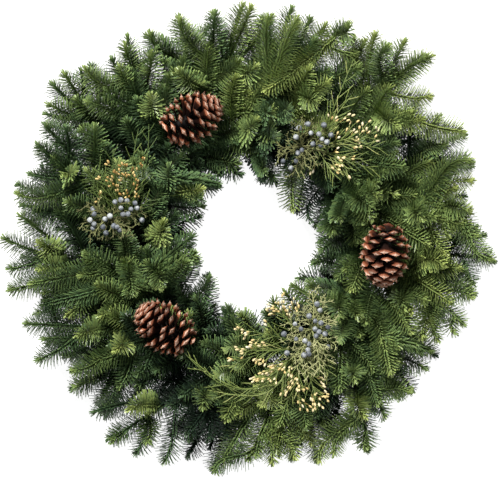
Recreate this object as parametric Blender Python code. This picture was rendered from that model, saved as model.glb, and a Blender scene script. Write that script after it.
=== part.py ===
"""A Christmas wreath of fir boughs with pine cones, cedar and juniper, lying on its back, face up.

The boughs are gripped by the clamps of a welded wire ring, and all of them sweep clockwise, seen
from the front. +Z is the face of the wreath and +Y its top as it hangs. Pieces are modelled in
millimetres about the ring's centre and become metres when they are finished. A bearing is in
degrees, anticlockwise from +X, and a reach is a distance from the ring's axis.
"""

import math
import random
from collections import namedtuple

import bmesh
import bpy
from mathutils import Matrix, Vector
from mathutils.bvhtree import BVHTree
from mathutils.geometry import interpolate_bezier

MM = 0.001
UP = Vector((0.0, 0.0, 1.0))
SEED = 28

# Ring: welded wire with a clamp every 30 degrees, hexagonal so that its underside is flat
RING_RADIUS = 152.4
WIRE_RADIUS = 2.1
RING_STEPS = 36
CLAMP_COUNT = 12
FIRST_CLAMP = 15.0
CLAMP_PITCH = 360.0 / CLAMP_COUNT
CLAMP_REACH = RING_RADIUS * math.cos(math.pi / RING_STEPS)

# Clamp: a house-shaped loop of strip, seen along the ring
CLAMP_HALF_WIDTH = 6.3
CLAMP_FLOOR = 2.0
CLAMP_EAVES = 12.1
CLAMP_RIDGE = 19.2
CLAMP_STRIP = 1.2
CLAMP_LENGTH = 5.0

# Stems: three-sided, with one corner down, stacked in a clamp as (outwards from the ring, height)
STEM_RADIUS = 2.2
STEM_LEAD = 8.0
SLOTS = {
    "low_outer": (2.7, 6.2),
    "low_inner": (-2.7, 6.2),
    "mid_outer": (2.7, 9.9),
    "mid_inner": (-2.7, 9.9),
    "top": (0.0, 13.6),
    "ridge": (0.0, 15.4),
}

# Fir needles: in whorls, each needle raised from one side of a short length of stem
NEEDLE_LENGTH = 20.0
NEEDLE_LENGTH_SPREAD = (0.9, 1.08)
NEEDLE_LEAN = 52.0
NEEDLE_LEAN_SPREAD = 6.0
NEEDLE_UPSWEEP = 0.22
WHORL_LENGTH = 2.6
WHORL_TURN = 60.0
TERMINAL_NEEDLE = 11.0
TABLE_CLEARANCE = 1.0

# Ways to bend a needle clear of its neighbours: change of lean, turn round the stem, share of length
NEEDLE_BENDS = (
    (0, 0, 1.0), (-12, 0, 1.0), (0, 18, 1.0), (0, -18, 1.0), (-22, 0, 1.0), (-12, 30, 1.0),
    (-12, -30, 1.0), (-30, 0, 0.9), (10, 25, 0.85), (10, -25, 0.85), (-36, 0, 0.75),
    (-20, 35, 0.7), (-20, -35, 0.7), (-30, 0, 0.5), (0, 0, 0.5), (-20, 0, 0.35),
)

# Outer boughs, one of each tier in every clamp from the first one on round the ring:
# tip bearing, tip reach, then the bearing and reach of the longer side shoot's tip
LOW_TIER = (
    (-4.5, 346, 1.5, 332), (27, 340, 20, 333), (55.5, 342, 61, 330), (81, 341, 76, 332),
    (108.5, 342, 114, 322), (142, 369, 133, 347), (166.5, 349, 171, 338), (191, 326, 184, 332),
    (219, 338, 211, 320), (253, 323, 260, 334), (286, 327, 280, 317), (317, 311, 328, 308),
)
HIGH_TIER = (
    (339, 319, 347, 322), (8, 311, 16, 322), (46.5, 365, 40, 325), (67, 339, 72, 325),
    (93, 337, 86, 323), (122, 342, 128, 330), (156, 337, 151, 341), (179.5, 356, 174, 335),
    (200, 344, 205, 330), (234, 349, 227, 333), (269, 308, 262, 315), (299, 336, 307, 311),
)
LOW_HEIGHTS = (17, 19, 18)
HIGH_HEIGHTS = (60, 56, 64, 58)

OUTER_LEAFY = 150.0
OUTER_WHORLS = 7
SIDE_DROP = 2.0
SHORT_SIDE_BACK = 22.0
SHORT_SIDE_OUT = 34.0
MAIN_RADII = (2.0, 1.2)
SIDE_RADII = (1.6, 1.0)
SIDE_BARE = 9.0
SIDE_ANGLE = math.radians(51.0)
SIDE_STRAIGHTENING = 0.6
Tier = namedtuple("Tier", "name slot tips heights sweep climb")
LOW = Tier("fir_low", "low_outer", LOW_TIER, LOW_HEIGHTS, 12.0, 0.04)
HIGH = Tier("fir_high", "mid_outer", HIGH_TIER, HIGH_HEIGHTS, 24.0, 0.12)

# Inner boughs, one in every clamp, round the hole: tip bearing, reach and height
INNER_TIER = (
    (-14, 90, 26), (17, 85, 30), (38, 70, 24), (70, 80, 30), (104, 91, 34), (128, 90, 28),
    (157, 82, 24), (185, 80, 32), (219, 76, 26), (248, 98, 30), (282, 92, 26), (323, 80, 30),
)

INNER_SWEEP = 140.0
INNER_WHORLS = 4

# Crest boughs, on top between the decorations: clamp number, slot, tip bearing, reach and height
CREST_TIER = (
    (1, "mid_inner", 18, 168, 92), (3, "mid_inner", 79, 150, 92), (5, "mid_inner", 140, 156, 92),
    (7, "mid_inner", 192, 150, 84), (9, "mid_inner", 257, 152, 78), (11, "mid_inner", 319, 156, 86),
    (3, "top", 83, 222, 84), (7, "top", 196, 224, 76), (9, "top", 262, 224, 72),
    (11, "top", 323, 222, 80),
)

CREST_SWEEP = 50.0
CREST_WHORLS = 6

# Pine cones: a twisted core with a scale on each of its faces. The scales lean back at the base and
# close over the tip, and are longest about the middle. The rim is the share of a scale's length at
# which its diamond lies.
CONE_CORE_LENGTH = 80.0
CONE_CORE_RADIUS = 12.5
CONE_COLUMNS = 8
CONE_ROWS = 8
CONE_BASE_TILT = -22.0
CONE_TIP_TILT = 74.0
CONE_SCALE_SHORT = 14.0
CONE_SCALE_SWELL = 12.0
CONE_SCALE_TAPER = 3.0
CONE_SCALE_HALF_WIDTH = 6.6
CONE_SCALE_HALF_THICKNESS = 3.0
CONE_SCALE_THINNING = 0.4
CONE_SCALE_RIM = 0.84

# Where each cone lies: bearing, reach and height of its middle, the way its tip points, its clamp
CONES = {
    "cone_upper_left": (117.0, 193.0, 88.0, (0.88, 0.47, 0.10), 4),
    "cone_lower_left": (224.0, 172.0, 88.0, (-0.82, 0.57, 0.06), 8),
    "cone_right": (-5.3, 183.0, 90.0, (-0.08, -0.90, -0.30), 0),
}
CONE_WIRE_RADIUS = 1.0
CONE_WIRE_STEPS = 5
SEAT_GAP = 0.4

# Cedar, one spray beside each bunch of berries: clamp number, hub, then where its strands end
CEDAR_STRAND_RADIUS = 0.95
CEDAR_TWIG_RADIUS = 0.76
CEDAR_TWIG_LENGTH = 24.0
CEDAR_KNEE = 0.6
CEDAR_SPREAD = 0.75
STRAND_STEP = 0.95
POLLEN_CONE_RADIUS = 1.7
POLLEN_CONE_LENGTH = 6.0
CEDARS = {
    "cedar_upper_right": (2, (92, 131, 72), (
        (175, 156, 90), (180, 130, 86), (171, 99, 84), (153, 116, 94), (139, 144, 96),
        (136, 204, 90), (139, 255, 86), (112, 90, 84), (132, 98, 90), (116, 176, 92),
    )),
    "cedar_left": (6, (-178, 26, 70), (
        (-218, 109, 88), (-196, 130, 92), (-161, 158, 90), (-147, 165, 84), (-178, 109, 96),
        (-208, 88, 92), (-158, 116, 94), (-166, 84, 90), (-227, 78, 84), (-144, 60, 86),
    )),
    "cedar_lower_right": (10, (66, -148, 72), (
        (-98, -153, 86), (-65, -206, 82), (-13, -216, 86), (37, -238, 84), (93, -230, 84),
        (-41, -176, 92), (11, -195, 95), (62, -209, 92), (30, -82, 78), (-6, -150, 94),
        (-22, -122, 86), (104, -186, 88),
    )),
}

# Juniper: clamp number, hub and the bearing of the first of its twigs, which carry the berries
BERRY_RADIUS = 3.9
BERRY_ASIDE = 3.0
BERRY_ABOVE = 1.5
BERRY_SHARES = (0.45, 0.68, 0.9)
TWIG_RADIUS = 1.2
TWIG_STEP = 1.5
TWIG_POINT = 5.5
TWIG_COUNT = 4
TWIG_REACH = 31.0
TWIG_RISES = (13.0, 19.0)
JUNIPERS = {
    "juniper_upper_right": (2, (66, 134, 86), 10.0),
    "juniper_left": (6, (-202, 34, 88), 50.0),
    "juniper_lower_right": (10, (80, -122, 86), 30.0),
}

# Finishes: colour, roughness, metallic
FINISHES = {
    "ring": ((0.09, 0.13, 0.09), 0.45, 0.8),
    "green_wire": ((0.05, 0.12, 0.06), 0.4, 0.3),
    "fir": ((0.06, 0.16, 0.05), 0.6),
    "cone": ((0.24, 0.10, 0.05), 0.7),
    "cedar": ((0.42, 0.42, 0.12), 0.6),
    "juniper": ((0.16, 0.20, 0.30), 0.55),
}


def polar(bearing, reach, height=0.0):
    """A point from its bearing, its reach and its height."""
    angle = math.radians(bearing)
    return Vector((reach * math.cos(angle), reach * math.sin(angle), height))


def clockwise(bearing):
    """The way clockwise round the ring at a bearing."""
    return polar(bearing - 90.0, 1.0)


def clamp_bearing(number):
    """The bearing of a clamp, counted anticlockwise from the first one."""
    return FIRST_CLAMP + CLAMP_PITCH * number


class Run:
    """A smooth line that can be read at any distance along it."""

    def __init__(self, points, over=UP):
        self.points = points
        self.marks = [0.0]
        for before, after in zip(points, points[1:]):
            self.marks.append(self.marks[-1] + (after - before).length)
        self.length = self.marks[-1]
        last = len(points) - 1
        self.ahead = [
            (points[min(i + 1, last)] - points[max(i - 1, 0)]).normalized() for i in range(last + 1)
        ]
        self.over = []
        for ahead in self.ahead:
            over = (over - ahead * over.dot(ahead)).normalized()
            self.over.append(over)

    def station(self, distance):
        """The point at a distance, the way ahead there and the way over the stem's back."""
        index = 0
        while index < len(self.marks) - 2 and self.marks[index + 1] < distance:
            index += 1
        share = (distance - self.marks[index]) / (self.marks[index + 1] - self.marks[index])
        point = self.points[index].lerp(self.points[index + 1], share)
        share = min(1.0, share)
        ahead = self.ahead[index].lerp(self.ahead[index + 1], share).normalized()
        over = self.over[index].lerp(self.over[index + 1], share)
        return point, ahead, (over - ahead * over.dot(ahead)).normalized()


def clamped_run(clamp, slot, tip, finish, slack=0.4):
    """The run of a stem: straight through its clamp's slot, then one curve to its tip."""
    bearing = clamp_bearing(clamp)
    outwards, height = SLOTS[slot]
    along = clockwise(bearing)
    middle = polar(bearing, CLAMP_REACH + outwards, height)
    leave = middle + STEM_LEAD * along
    handle = slack * (tip - leave).length
    curve = interpolate_bezier(leave, leave + handle * along, tip - handle * finish, tip, 36)
    return Run([middle - STEM_LEAD * along, *curve])


def free_run(start, set_off, tip, finish, over=UP):
    """The run of a shoot from one point and way to another."""
    handle = 0.36 * (tip - start).length
    return Run(interpolate_bezier(start, start + handle * set_off, tip - handle * finish, tip, 16), over)


def ring_point(station, angle, radius):
    """A point round a stem, by its angle in degrees from the stem's back."""
    point, ahead, over = station
    angle = math.radians(angle)
    return point + radius * (math.cos(angle) * over + math.sin(angle) * ahead.cross(over))


class Stem:
    """A stem that grows along a run: its end face is extruded from ring to ring."""

    def __init__(self, bm, run, end, angles):
        self.bm = bm
        self.run = run
        self.end = end
        self.angles = angles
        self.whorls = []

    @classmethod
    def cut(cls, bm, run, reach, radius):
        """A new stem from its cut end, three-sided with one corner down."""
        made = bmesh.ops.create_cone(
            bm, cap_ends=True, segments=3, radius1=radius, radius2=radius, depth=1.0
        )
        bm.normal_update()
        faces = {face for vert in made["verts"] for face in vert.link_faces}
        end = max(faces, key=lambda face: face.normal.z)
        stem = cls(bm, run, end, [60.0, 180.0, 300.0])
        first, second = run.station(0.0), run.station(reach)
        for vert, angle in zip(end.verts, stem.angles):
            foot = next(edge.other_vert(vert) for edge in vert.link_edges if edge not in end.edges)
            vert.co = ring_point(second, angle, radius)
            foot.co = ring_point(first, angle, radius)
        return stem

    @classmethod
    def branch(cls, bm, run, face):
        """A shoot that grows out of a face of another stem."""
        _, ahead, over = run.station(0.0)
        across = ahead.cross(over)
        middle = face.calc_center_median()
        angles = []
        for vert in face.verts:
            offset = vert.co - middle
            angles.append(math.degrees(math.atan2(offset.dot(across), offset.dot(over))))
        return cls(bm, run, face, angles)

    def grow(self, distance, radius, turn=0.0):
        """Extrude the end face to its next ring, turned by so many degrees."""
        self.end = bmesh.ops.extrude_discrete_faces(self.bm, faces=[self.end])["faces"][0]
        self.angles = [angle + turn for angle in self.angles]
        station = self.run.station(distance)
        for vert, angle in zip(self.end.verts, self.angles):
            vert.co = ring_point(station, angle, radius)

    def whorl(self, distance, radius):
        """Extrude a short length whose side faces will each carry a needle."""
        self.grow(distance, radius)
        corners = len(self.angles)
        sites = []
        for corner, loop in enumerate(self.end.loops):
            before, after = self.angles[corner], self.angles[(corner + 1) % corners]
            azimuth = before + ((after - before) % 360.0) / 2.0
            side = loop.link_loop_radial_next.face
            sites.append((side, distance - WHORL_LENGTH / 2.0, azimuth % 360.0))
        self.whorls.append(sites)

    def leaf_out(self, first, last, count, radii, bare_turn=WHORL_TURN / 2.0):
        """Whorls at even steps between two distances, each turned against the one before."""
        pitch = (last - first) / count
        turn = bare_turn
        for number in range(count):
            share = number / count
            radius = radii[0] + (radii[1] - radii[0]) * share
            start = first + pitch * number
            self.grow(start, radius, turn)
            self.whorl(start + WHORL_LENGTH, radius)
            turn = WHORL_TURN
        self.grow(last, radii[1], WHORL_TURN)

    def point_end(self, length):
        """Close the stem with a point, straight ahead of its last station."""
        point, ahead, _ = self.run.station(self.run.length)
        tip = bmesh.ops.poke(self.bm, faces=[self.end])["verts"][0]
        tip.co = point + length * ahead


def corners_of(points):
    """The low and the high corner of the box round some points."""
    low = Vector([min(point[axis] for point in points) for axis in range(3)])
    high = Vector([max(point[axis] for point in points) for axis in range(3)])
    return low, high


class Clearance:
    """The solids that a needle has to stay clear of."""

    def __init__(self):
        self.solids = {}

    def add(self, name, bm):
        """Take in a solid, or put it in place of the one of that name."""
        low, high = corners_of([vert.co for vert in bm.verts])
        self.solids[name] = (low, high, BVHTree.FromBMesh(bm))

    def meets(self, points, tree):
        """Whether a spike cuts any of the solids."""
        low, high = corners_of(points)
        for solid_low, solid_high, solid_tree in self.solids.values():
            apart = any(
                low[axis] > solid_high[axis] or high[axis] < solid_low[axis] for axis in range(3)
            )
            if not apart and tree.overlap(solid_tree):
                return True
        return False


def spike(corners, tip, swell=0.4, foot=0.16):
    """A needle's outer part, a little swollen, as points and a tree to test against solids."""
    middle = sum(corners, Vector()) / len(corners)
    points = []
    for corner in corners:
        outwards = (corner - middle).normalized()
        points.append(corner.lerp(tip, foot) + swell * outwards)
    points.append(tip + swell * 1.5 * (tip - middle).normalized())
    last = len(corners)
    polygons = [(index, (index + 1) % last, last) for index in range(last)]
    polygons.append(tuple(range(last)))
    return points, BVHTree.FromPolygons(points, polygons)


class Bough:
    """A leafy bough: its main stem and side shoots, and where their needles go."""

    def __init__(self, name, run):
        self.name = name
        self.run = run
        self.bm = bmesh.new()
        self.stems = []

    def grow_main(self, leafy, whorls):
        """The main stem: bare as far as it is hidden, then leafy to its tip."""
        bare = self.run.length - leafy
        stem = Stem.cut(self.bm, self.run, 2.0 * STEM_LEAD, STEM_RADIUS)
        if bare > 5.0 * STEM_LEAD:
            stem.grow((2.0 * STEM_LEAD + bare) / 2.0, STEM_RADIUS)
        stem.leaf_out(bare, self.run.length, whorls, MAIN_RADII)
        stem.point_end(TERMINAL_NEEDLE)
        self.stems.append(stem)

    def grow_side(self, number, tip, whorls):
        """A side shoot from a whorl of the main stem: even whorls face left, odd ones right."""
        ring = self.stems[0].whorls[number]
        wanted = 90.0 if number % 2 else 270.0
        entry = min(ring, key=lambda site: abs((site[2] - wanted + 180.0) % 360.0 - 180.0))
        ring.remove(entry)
        _, ahead, over = self.run.station(entry[1])
        sideways = ahead.cross(over) * (1.0 if number % 2 else -1.0)
        set_off = (math.cos(SIDE_ANGLE) * ahead + math.sin(SIDE_ANGLE) * sideways).normalized()
        start = entry[0].calc_center_median()
        finish = ((tip - start).normalized() + SIDE_STRAIGHTENING * ahead).normalized()
        run = free_run(start, set_off, tip, finish, over)
        side = Stem.branch(self.bm, run, entry[0])
        side.leaf_out(min(SIDE_BARE, run.length / 4.0), run.length, whorls, SIDE_RADII, 0.0)
        side.point_end(TERMINAL_NEEDLE)
        self.stems.append(side)

    def leaf(self, clearance, draw):
        """Raise every needle, each bent clear of what is already there."""
        clearance.add(self.name, self.bm)
        placed = []
        for stem in self.stems:
            for face, distance, azimuth in [site for whorl in stem.whorls for site in whorl]:
                station = stem.run.station(distance)
                length = NEEDLE_LENGTH * draw.uniform(*NEEDLE_LENGTH_SPREAD)
                lean = NEEDLE_LEAN + draw.uniform(-NEEDLE_LEAN_SPREAD, NEEDLE_LEAN_SPREAD)
                found = clear_tip(face, station, (azimuth, lean, length), clearance, placed)
                if found:
                    peak = bmesh.ops.poke(self.bm, faces=[face])["verts"][0]
                    peak.co = found[0]
                    placed.append(found)
        clearance.add(self.name, self.bm)


def clear_tip(face, station, plan, clearance, placed):
    """Where a needle's tip may go, with its spike: as planned, or bent until it is clear."""
    azimuth, lean, length = plan
    point, ahead, _ = station
    corners = [vert.co.copy() for vert in face.verts]
    foot = face.calc_center_median()
    for lean_change, turn, share in NEEDLE_BENDS:
        angle = math.radians(lean + lean_change)
        outwards = ring_point(station, azimuth + turn, 1.0) - point
        way = math.cos(angle) * ahead + math.sin(angle) * (outwards + NEEDLE_UPSWEEP * UP)
        tip = foot + share * length * way.normalized()
        if tip.z < TABLE_CLEARANCE:
            continue
        points, tree = spike(corners, tip)
        near = [other for other_tip, other in placed if (other_tip - tip).length < 2.0 * NEEDLE_LENGTH]
        if not any(tree.overlap(other) for other in near) and not clearance.meets(points, tree):
            return tip, tree
    return None


def finish_material(name, colour, roughness, metallic=0.0):
    """A plain finish: colour, roughness and how metallic it is."""
    material = bpy.data.materials.new(name)
    material.use_nodes = True
    shader = material.node_tree.nodes["Principled BSDF"]
    shader.inputs["Base Color"].default_value = (*colour, 1.0)
    shader.inputs["Roughness"].default_value = roughness
    shader.inputs["Metallic"].default_value = metallic
    material.diffuse_color = (*colour, 1.0)
    return material


def finish_object(name, bm, material, parent):
    """Make a finished piece its own object, in metres."""
    bmesh.ops.scale(bm, vec=(MM, MM, MM), verts=bm.verts)
    bmesh.ops.triangulate(bm, faces=bm.faces)
    mesh = bpy.data.meshes.new(name)
    bm.to_mesh(mesh)
    bm.free()
    mesh.materials.append(material)
    piece = bpy.data.objects.new(name, mesh)
    piece.parent = parent
    bpy.context.scene.collection.objects.link(piece)
    return piece


def unite(name, body, pieces):
    """One closed body from a body and the pieces whose roots are sunk in it."""
    collection = bpy.data.collections.new(f"{name}_pieces")
    bpy.context.scene.collection.children.link(collection)
    for number, bm in enumerate([body, *pieces]):
        mesh = bpy.data.meshes.new(f"{name}_piece_{number}")
        bm.to_mesh(mesh)
        bm.free()
        target = bpy.context.scene.collection if number == 0 else collection
        target.objects.link(bpy.data.objects.new(mesh.name, mesh))
    base = bpy.data.objects[f"{name}_piece_0"]
    union = base.modifiers.new("union", "BOOLEAN")
    union.operation = "UNION"
    union.operand_type = "COLLECTION"
    union.collection = collection
    union.solver = "EXACT"
    bpy.context.view_layer.update()
    whole = base.evaluated_get(bpy.context.evaluated_depsgraph_get())
    united = bmesh.new()
    united.from_mesh(whole.to_mesh())
    whole.to_mesh_clear()
    for piece in [base, *collection.objects]:
        mesh = piece.data
        bpy.data.objects.remove(piece)
        bpy.data.meshes.remove(mesh)
    bpy.data.collections.remove(collection)
    return united


def clamp_loop(number):
    """One clamp: a house-shaped loop of strip round the stems, its floor sunk in the wire."""
    bm = bmesh.new()
    outline = (
        (-CLAMP_HALF_WIDTH, CLAMP_FLOOR), (CLAMP_HALF_WIDTH, CLAMP_FLOOR),
        (CLAMP_HALF_WIDTH, CLAMP_EAVES), (0.0, CLAMP_RIDGE), (-CLAMP_HALF_WIDTH, CLAMP_EAVES),
    )
    bearing = clamp_bearing(number)
    outwards = polar(bearing, 1.0)
    back = CLAMP_REACH * outwards - 0.5 * CLAMP_LENGTH * clockwise(bearing)
    corners = [bm.verts.new(back + across * outwards + height * UP) for across, height in outline]
    house = bm.faces.new(corners)
    house.normal_update()
    bmesh.ops.inset_region(
        bm, faces=[house], thickness=CLAMP_STRIP, use_boundary=True, use_even_offset=True
    )
    bmesh.ops.delete(bm, geom=[house], context="FACES")
    front = bmesh.ops.extrude_face_region(bm, geom=bm.faces[:])["geom"]
    moved = [item for item in front if isinstance(item, bmesh.types.BMVert)]
    bmesh.ops.translate(bm, vec=CLAMP_LENGTH * clockwise(bearing), verts=moved)
    bmesh.ops.recalc_face_normals(bm, faces=bm.faces)
    return bm


def ring_frame():
    """The wire ring with its clamps welded on, as one body."""
    bm = bmesh.new()
    section = bmesh.ops.create_circle(bm, segments=6, radius=WIRE_RADIUS)["verts"]
    place = (
        Matrix.Translation((RING_RADIUS, 0.0, WIRE_RADIUS * math.cos(math.pi / 6.0)))
        @ Matrix.Rotation(math.pi / 2.0, 4, "X")
        @ Matrix.Rotation(math.pi / 6.0, 4, "Z")
    )
    bmesh.ops.transform(bm, matrix=place, verts=section)
    bmesh.ops.spin(
        bm, geom=bm.edges[:] + bm.verts[:], cent=(0, 0, 0), axis=(0, 0, 1), angle=2.0 * math.pi,
        steps=RING_STEPS, use_merge=True,
    )
    bmesh.ops.recalc_face_normals(bm, faces=bm.faces)
    return unite("ring_frame", bm, [clamp_loop(number) for number in range(CLAMP_COUNT)])


def raise_scale(bm, face, share):
    """One woody scale, extruded from a face of the core to a diamond that ends in a point."""
    middle = face.calc_center_median()
    radial = Vector((middle.x, middle.y, 0.0)).normalized()
    tilt = math.radians(CONE_BASE_TILT + (CONE_TIP_TILT - CONE_BASE_TILT) * share ** 0.85)
    way = math.cos(tilt) * radial + math.sin(tilt) * UP
    sideways = UP.cross(radial)
    thick = way.cross(sideways)
    swell = math.sin(math.pi * share ** 0.9)
    length = CONE_SCALE_SHORT + CONE_SCALE_SWELL * swell - CONE_SCALE_TAPER * share
    rim = middle + CONE_SCALE_RIM * length * way
    room = math.hypot(rim.x, rim.y) * math.pi / CONE_COLUMNS
    half_width = min(CONE_SCALE_HALF_WIDTH, 0.8 * room)
    half_thickness = CONE_SCALE_HALF_THICKNESS * (1.0 - CONE_SCALE_THINNING * share)
    end = bmesh.ops.extrude_discrete_faces(bm, faces=[face])["faces"][0]
    corners = [vert.co for vert in end.verts]
    first = min(range(4), key=lambda corner: corners[corner].z + corners[corner].dot(sideways))
    spread = ((-half_width, 0.0), (0.0, -half_thickness), (half_width, 0.0), (0.0, half_thickness))
    for corner, (across, up) in enumerate(spread):
        end.verts[(first + corner) % 4].co = rim + across * sideways + up * thick
    peak = bmesh.ops.poke(bm, faces=[end])["verts"][0]
    peak.co = middle + length * way + 0.5 * half_thickness * thick


def pine_cone(name):
    """A cone whose scales stand out of a slim twisted core in spiral rows, where it lies."""
    bearing, reach, height, pointing, _ = CONES[name]
    bm = bmesh.new()
    rings = CONE_ROWS + 2
    bmesh.ops.create_uvsphere(bm, u_segments=CONE_COLUMNS, v_segments=rings, radius=1.0)
    for vert in bm.verts:
        ring = rings * math.acos(max(-1.0, min(1.0, vert.co.z))) / math.pi
        width = CONE_CORE_RADIUS * math.hypot(vert.co.x, vert.co.y) ** 0.5
        angle = math.atan2(vert.co.y, vert.co.x) - ring * math.pi / CONE_COLUMNS
        level = CONE_CORE_LENGTH * (0.5 - ring / rings)
        vert.co = (width * math.cos(angle), width * math.sin(angle), level)
    bmesh.ops.recalc_face_normals(bm, faces=bm.faces)
    for face in [face for face in bm.faces if len(face.verts) == 4]:
        share = face.calc_center_median().z / CONE_CORE_LENGTH + 0.5
        raise_scale(bm, face, share)
    turn = UP.rotation_difference(Vector(pointing).normalized()).to_matrix().to_4x4()
    bmesh.ops.transform(
        bm, matrix=Matrix.Translation(polar(bearing, reach, height)) @ turn, verts=bm.verts
    )
    return bm


def cone_wire(name, cone):
    """The wire that holds a cone up: out of a clamp and up to the lowest scale of its base half."""
    bearing, reach, height, pointing, clamp = CONES[name]
    middle = polar(bearing, reach, height)
    base_half = [vert.co for vert in cone.verts if (vert.co - middle).dot(Vector(pointing)) < 0.0]
    seat = min(base_half, key=lambda point: point.z)
    run = clamped_run(clamp, "ridge", seat - SEAT_GAP * UP, UP)
    bm = bmesh.new()
    first = 2.0 * STEM_LEAD
    stem = Stem.cut(bm, run, first, CONE_WIRE_RADIUS)
    for step in range(1, CONE_WIRE_STEPS + 1):
        stem.grow(first + (run.length - first) * step / CONE_WIRE_STEPS, CONE_WIRE_RADIUS)
    return bm


def strand(start, set_off, tip, radius, knee=1.0):
    """A thin cedar strand, swollen at its tip into a pollen cone, and how far along its knee is."""
    finish = ((tip - start).normalized() - 0.2 * UP).normalized()
    run = free_run(start, set_off, tip, finish)
    bm = bmesh.new()
    neck = run.length - POLLEN_CONE_LENGTH
    stem = Stem.cut(bm, run, knee * neck, radius)
    if knee < 1.0:
        stem.grow(neck, CEDAR_TWIG_RADIUS)
    stem.grow(neck + 0.35 * POLLEN_CONE_LENGTH, POLLEN_CONE_RADIUS, 60.0)
    stem.point_end(0.0)
    return bm, run.station(knee * neck)


def rising(reach):
    """The way in which a strand or twig sets off along a reach: a little above it."""
    return (reach.normalized() + 0.38 * UP).normalized()


def bare_stem(run):
    """The bare stem of a bunch, from its cut end to its hub."""
    bm = bmesh.new()
    lead = 2.0 * STEM_LEAD
    stem = Stem.cut(bm, run, lead, STEM_RADIUS)
    for share in (0.4, 0.7, 1.0):
        stem.grow(lead + share * (run.length - lead), STEM_RADIUS)
    return bm


def cedar_spray(name):
    """Cedar strands that fan out from the end of one stem, each with a side strand."""
    clamp, hub, tips = CEDARS[name]
    tips = [Vector(tip) for tip in tips]
    mean = sum(tips, Vector()) / len(tips)
    finish = ((mean - Vector(hub)).normalized() + 1.2 * UP).normalized()
    run = clamped_run(clamp, "mid_inner", Vector(hub), finish, 0.42)
    pieces = []
    for number, tip in enumerate(tips):
        start = run.station(run.length - STRAND_STEP * (number + 1))[0]
        bm, (fork, ahead, over) = strand(
            start, rising(tip - start), tip, CEDAR_STRAND_RADIUS, CEDAR_KNEE
        )
        pieces.append(bm)
        if number % 2 == 0:
            sideways = ahead.cross(over) * (1.0 if number % 4 else -1.0)
            way = (ahead + CEDAR_SPREAD * sideways).normalized()
            pieces.append(strand(fork, way, fork + CEDAR_TWIG_LENGTH * way, CEDAR_TWIG_RADIUS)[0])
    return unite(name, bare_stem(run), pieces)


def juniper_bunch(name):
    """Juniper twigs round the end of one stem, with berries set along them."""
    clamp, hub, first = JUNIPERS[name]
    hub = Vector(hub)
    run = clamped_run(clamp, "top", hub, UP, 0.3)
    pieces = []
    for number in range(TWIG_COUNT):
        tip = hub + polar(first + 360.0 * number / TWIG_COUNT, TWIG_REACH, TWIG_RISES[number % 2])
        start = run.station(run.length - TWIG_STEP * (number + 1))[0]
        twig = free_run(start, rising(tip - start), tip, (tip - start).normalized())
        bm = bmesh.new()
        growth = Stem.cut(bm, twig, 0.3 * twig.length, TWIG_RADIUS)
        growth.grow(0.65 * twig.length, TWIG_RADIUS)
        growth.grow(twig.length, 0.7 * TWIG_RADIUS)
        growth.point_end(TWIG_POINT)
        pieces.append(bm)
        for place, share in enumerate(BERRY_SHARES):
            point, ahead, over = twig.station(share * twig.length)
            side = ahead.cross(over) * (1.0 if (place + number) % 2 else -1.0)
            centre = Matrix.Translation(point + BERRY_ASIDE * side + BERRY_ABOVE * over)
            berry = bmesh.new()
            bmesh.ops.create_icosphere(berry, subdivisions=1, radius=BERRY_RADIUS, matrix=centre)
            pieces.append(berry)
    return unite(name, bare_stem(run), pieces)


def outward(bearing, sweep, climb):
    """A tip's way: outwards, swept clockwise by so many degrees, with a climb."""
    return (polar(bearing - sweep, 1.0) + climb * UP).normalized()


def outer_bough(tier, clamp):
    """A bough of an outer tier, with a long side shoot one way and a short one the other."""
    bearing, reach, side_bearing, side_reach = tier.tips[clamp]
    height = tier.heights[clamp % len(tier.heights)]
    tip = polar(bearing, reach - TERMINAL_NEEDLE, height)
    run = clamped_run(clamp, tier.slot, tip, outward(bearing, tier.sweep, tier.climb))
    bough = Bough(f"{tier.name}_{clamp + 1:02d}", run)
    bough.grow_main(OUTER_LEAFY, OUTER_WHORLS)
    long_tip = polar(side_bearing, side_reach - TERMINAL_NEEDLE, height - SIDE_DROP)
    point, ahead, over = run.station(run.length - SHORT_SIDE_BACK)
    across = ahead.cross(over)
    right = (long_tip - point).dot(across) > 0.0
    short_tip = point + (-SHORT_SIDE_OUT if right else SHORT_SIDE_OUT) * across - SIDE_DROP * UP
    bough.grow_side(3 if right else 2, long_tip, 4)
    bough.grow_side(4 if right else 5, short_tip, 2)
    return bough


def crest_bough(number):
    """A bough of the crest: it climbs over the ring and lies along the top of the wreath."""
    clamp, slot, bearing, reach, height = CREST_TIER[number]
    tip = polar(bearing, reach, height)
    run = clamped_run(clamp, slot, tip, outward(bearing, CREST_SWEEP, 0.3), 0.36)
    bough = Bough(f"fir_crest_{number + 1:02d}", run)
    bough.grow_main(run.length - 3.0 * STEM_LEAD, CREST_WHORLS)
    point, ahead, over = run.station(run.length - SHORT_SIDE_BACK)
    bough.grow_side(2, point - SHORT_SIDE_OUT * ahead.cross(over), 2)
    return bough


def inner_bough(clamp):
    """A bough of the inner tier: it sweeps in over the ring to the edge of the hole."""
    bearing, reach, height = INNER_TIER[clamp]
    tip = polar(bearing, reach + 0.7 * TERMINAL_NEEDLE, height)
    run = clamped_run(clamp, "low_inner", tip, outward(bearing, INNER_SWEEP, 0.1))
    bough = Bough(f"fir_inner_{clamp + 1:02d}", run)
    bough.grow_main(run.length - 2.6 * STEM_LEAD, INNER_WHORLS)
    return bough


def hard_pieces():
    """The ring, the cones with their wires, the cedar and the juniper, by name."""
    pieces = {"ring_frame": ring_frame()}
    for name in CONES:
        pieces[name] = pine_cone(name)
        pieces[f"{name}_wire"] = cone_wire(name, pieces[name])
    for name in CEDARS:
        pieces[name] = cedar_spray(name)
    for name in JUNIPERS:
        pieces[name] = juniper_bunch(name)
    return pieces


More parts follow.
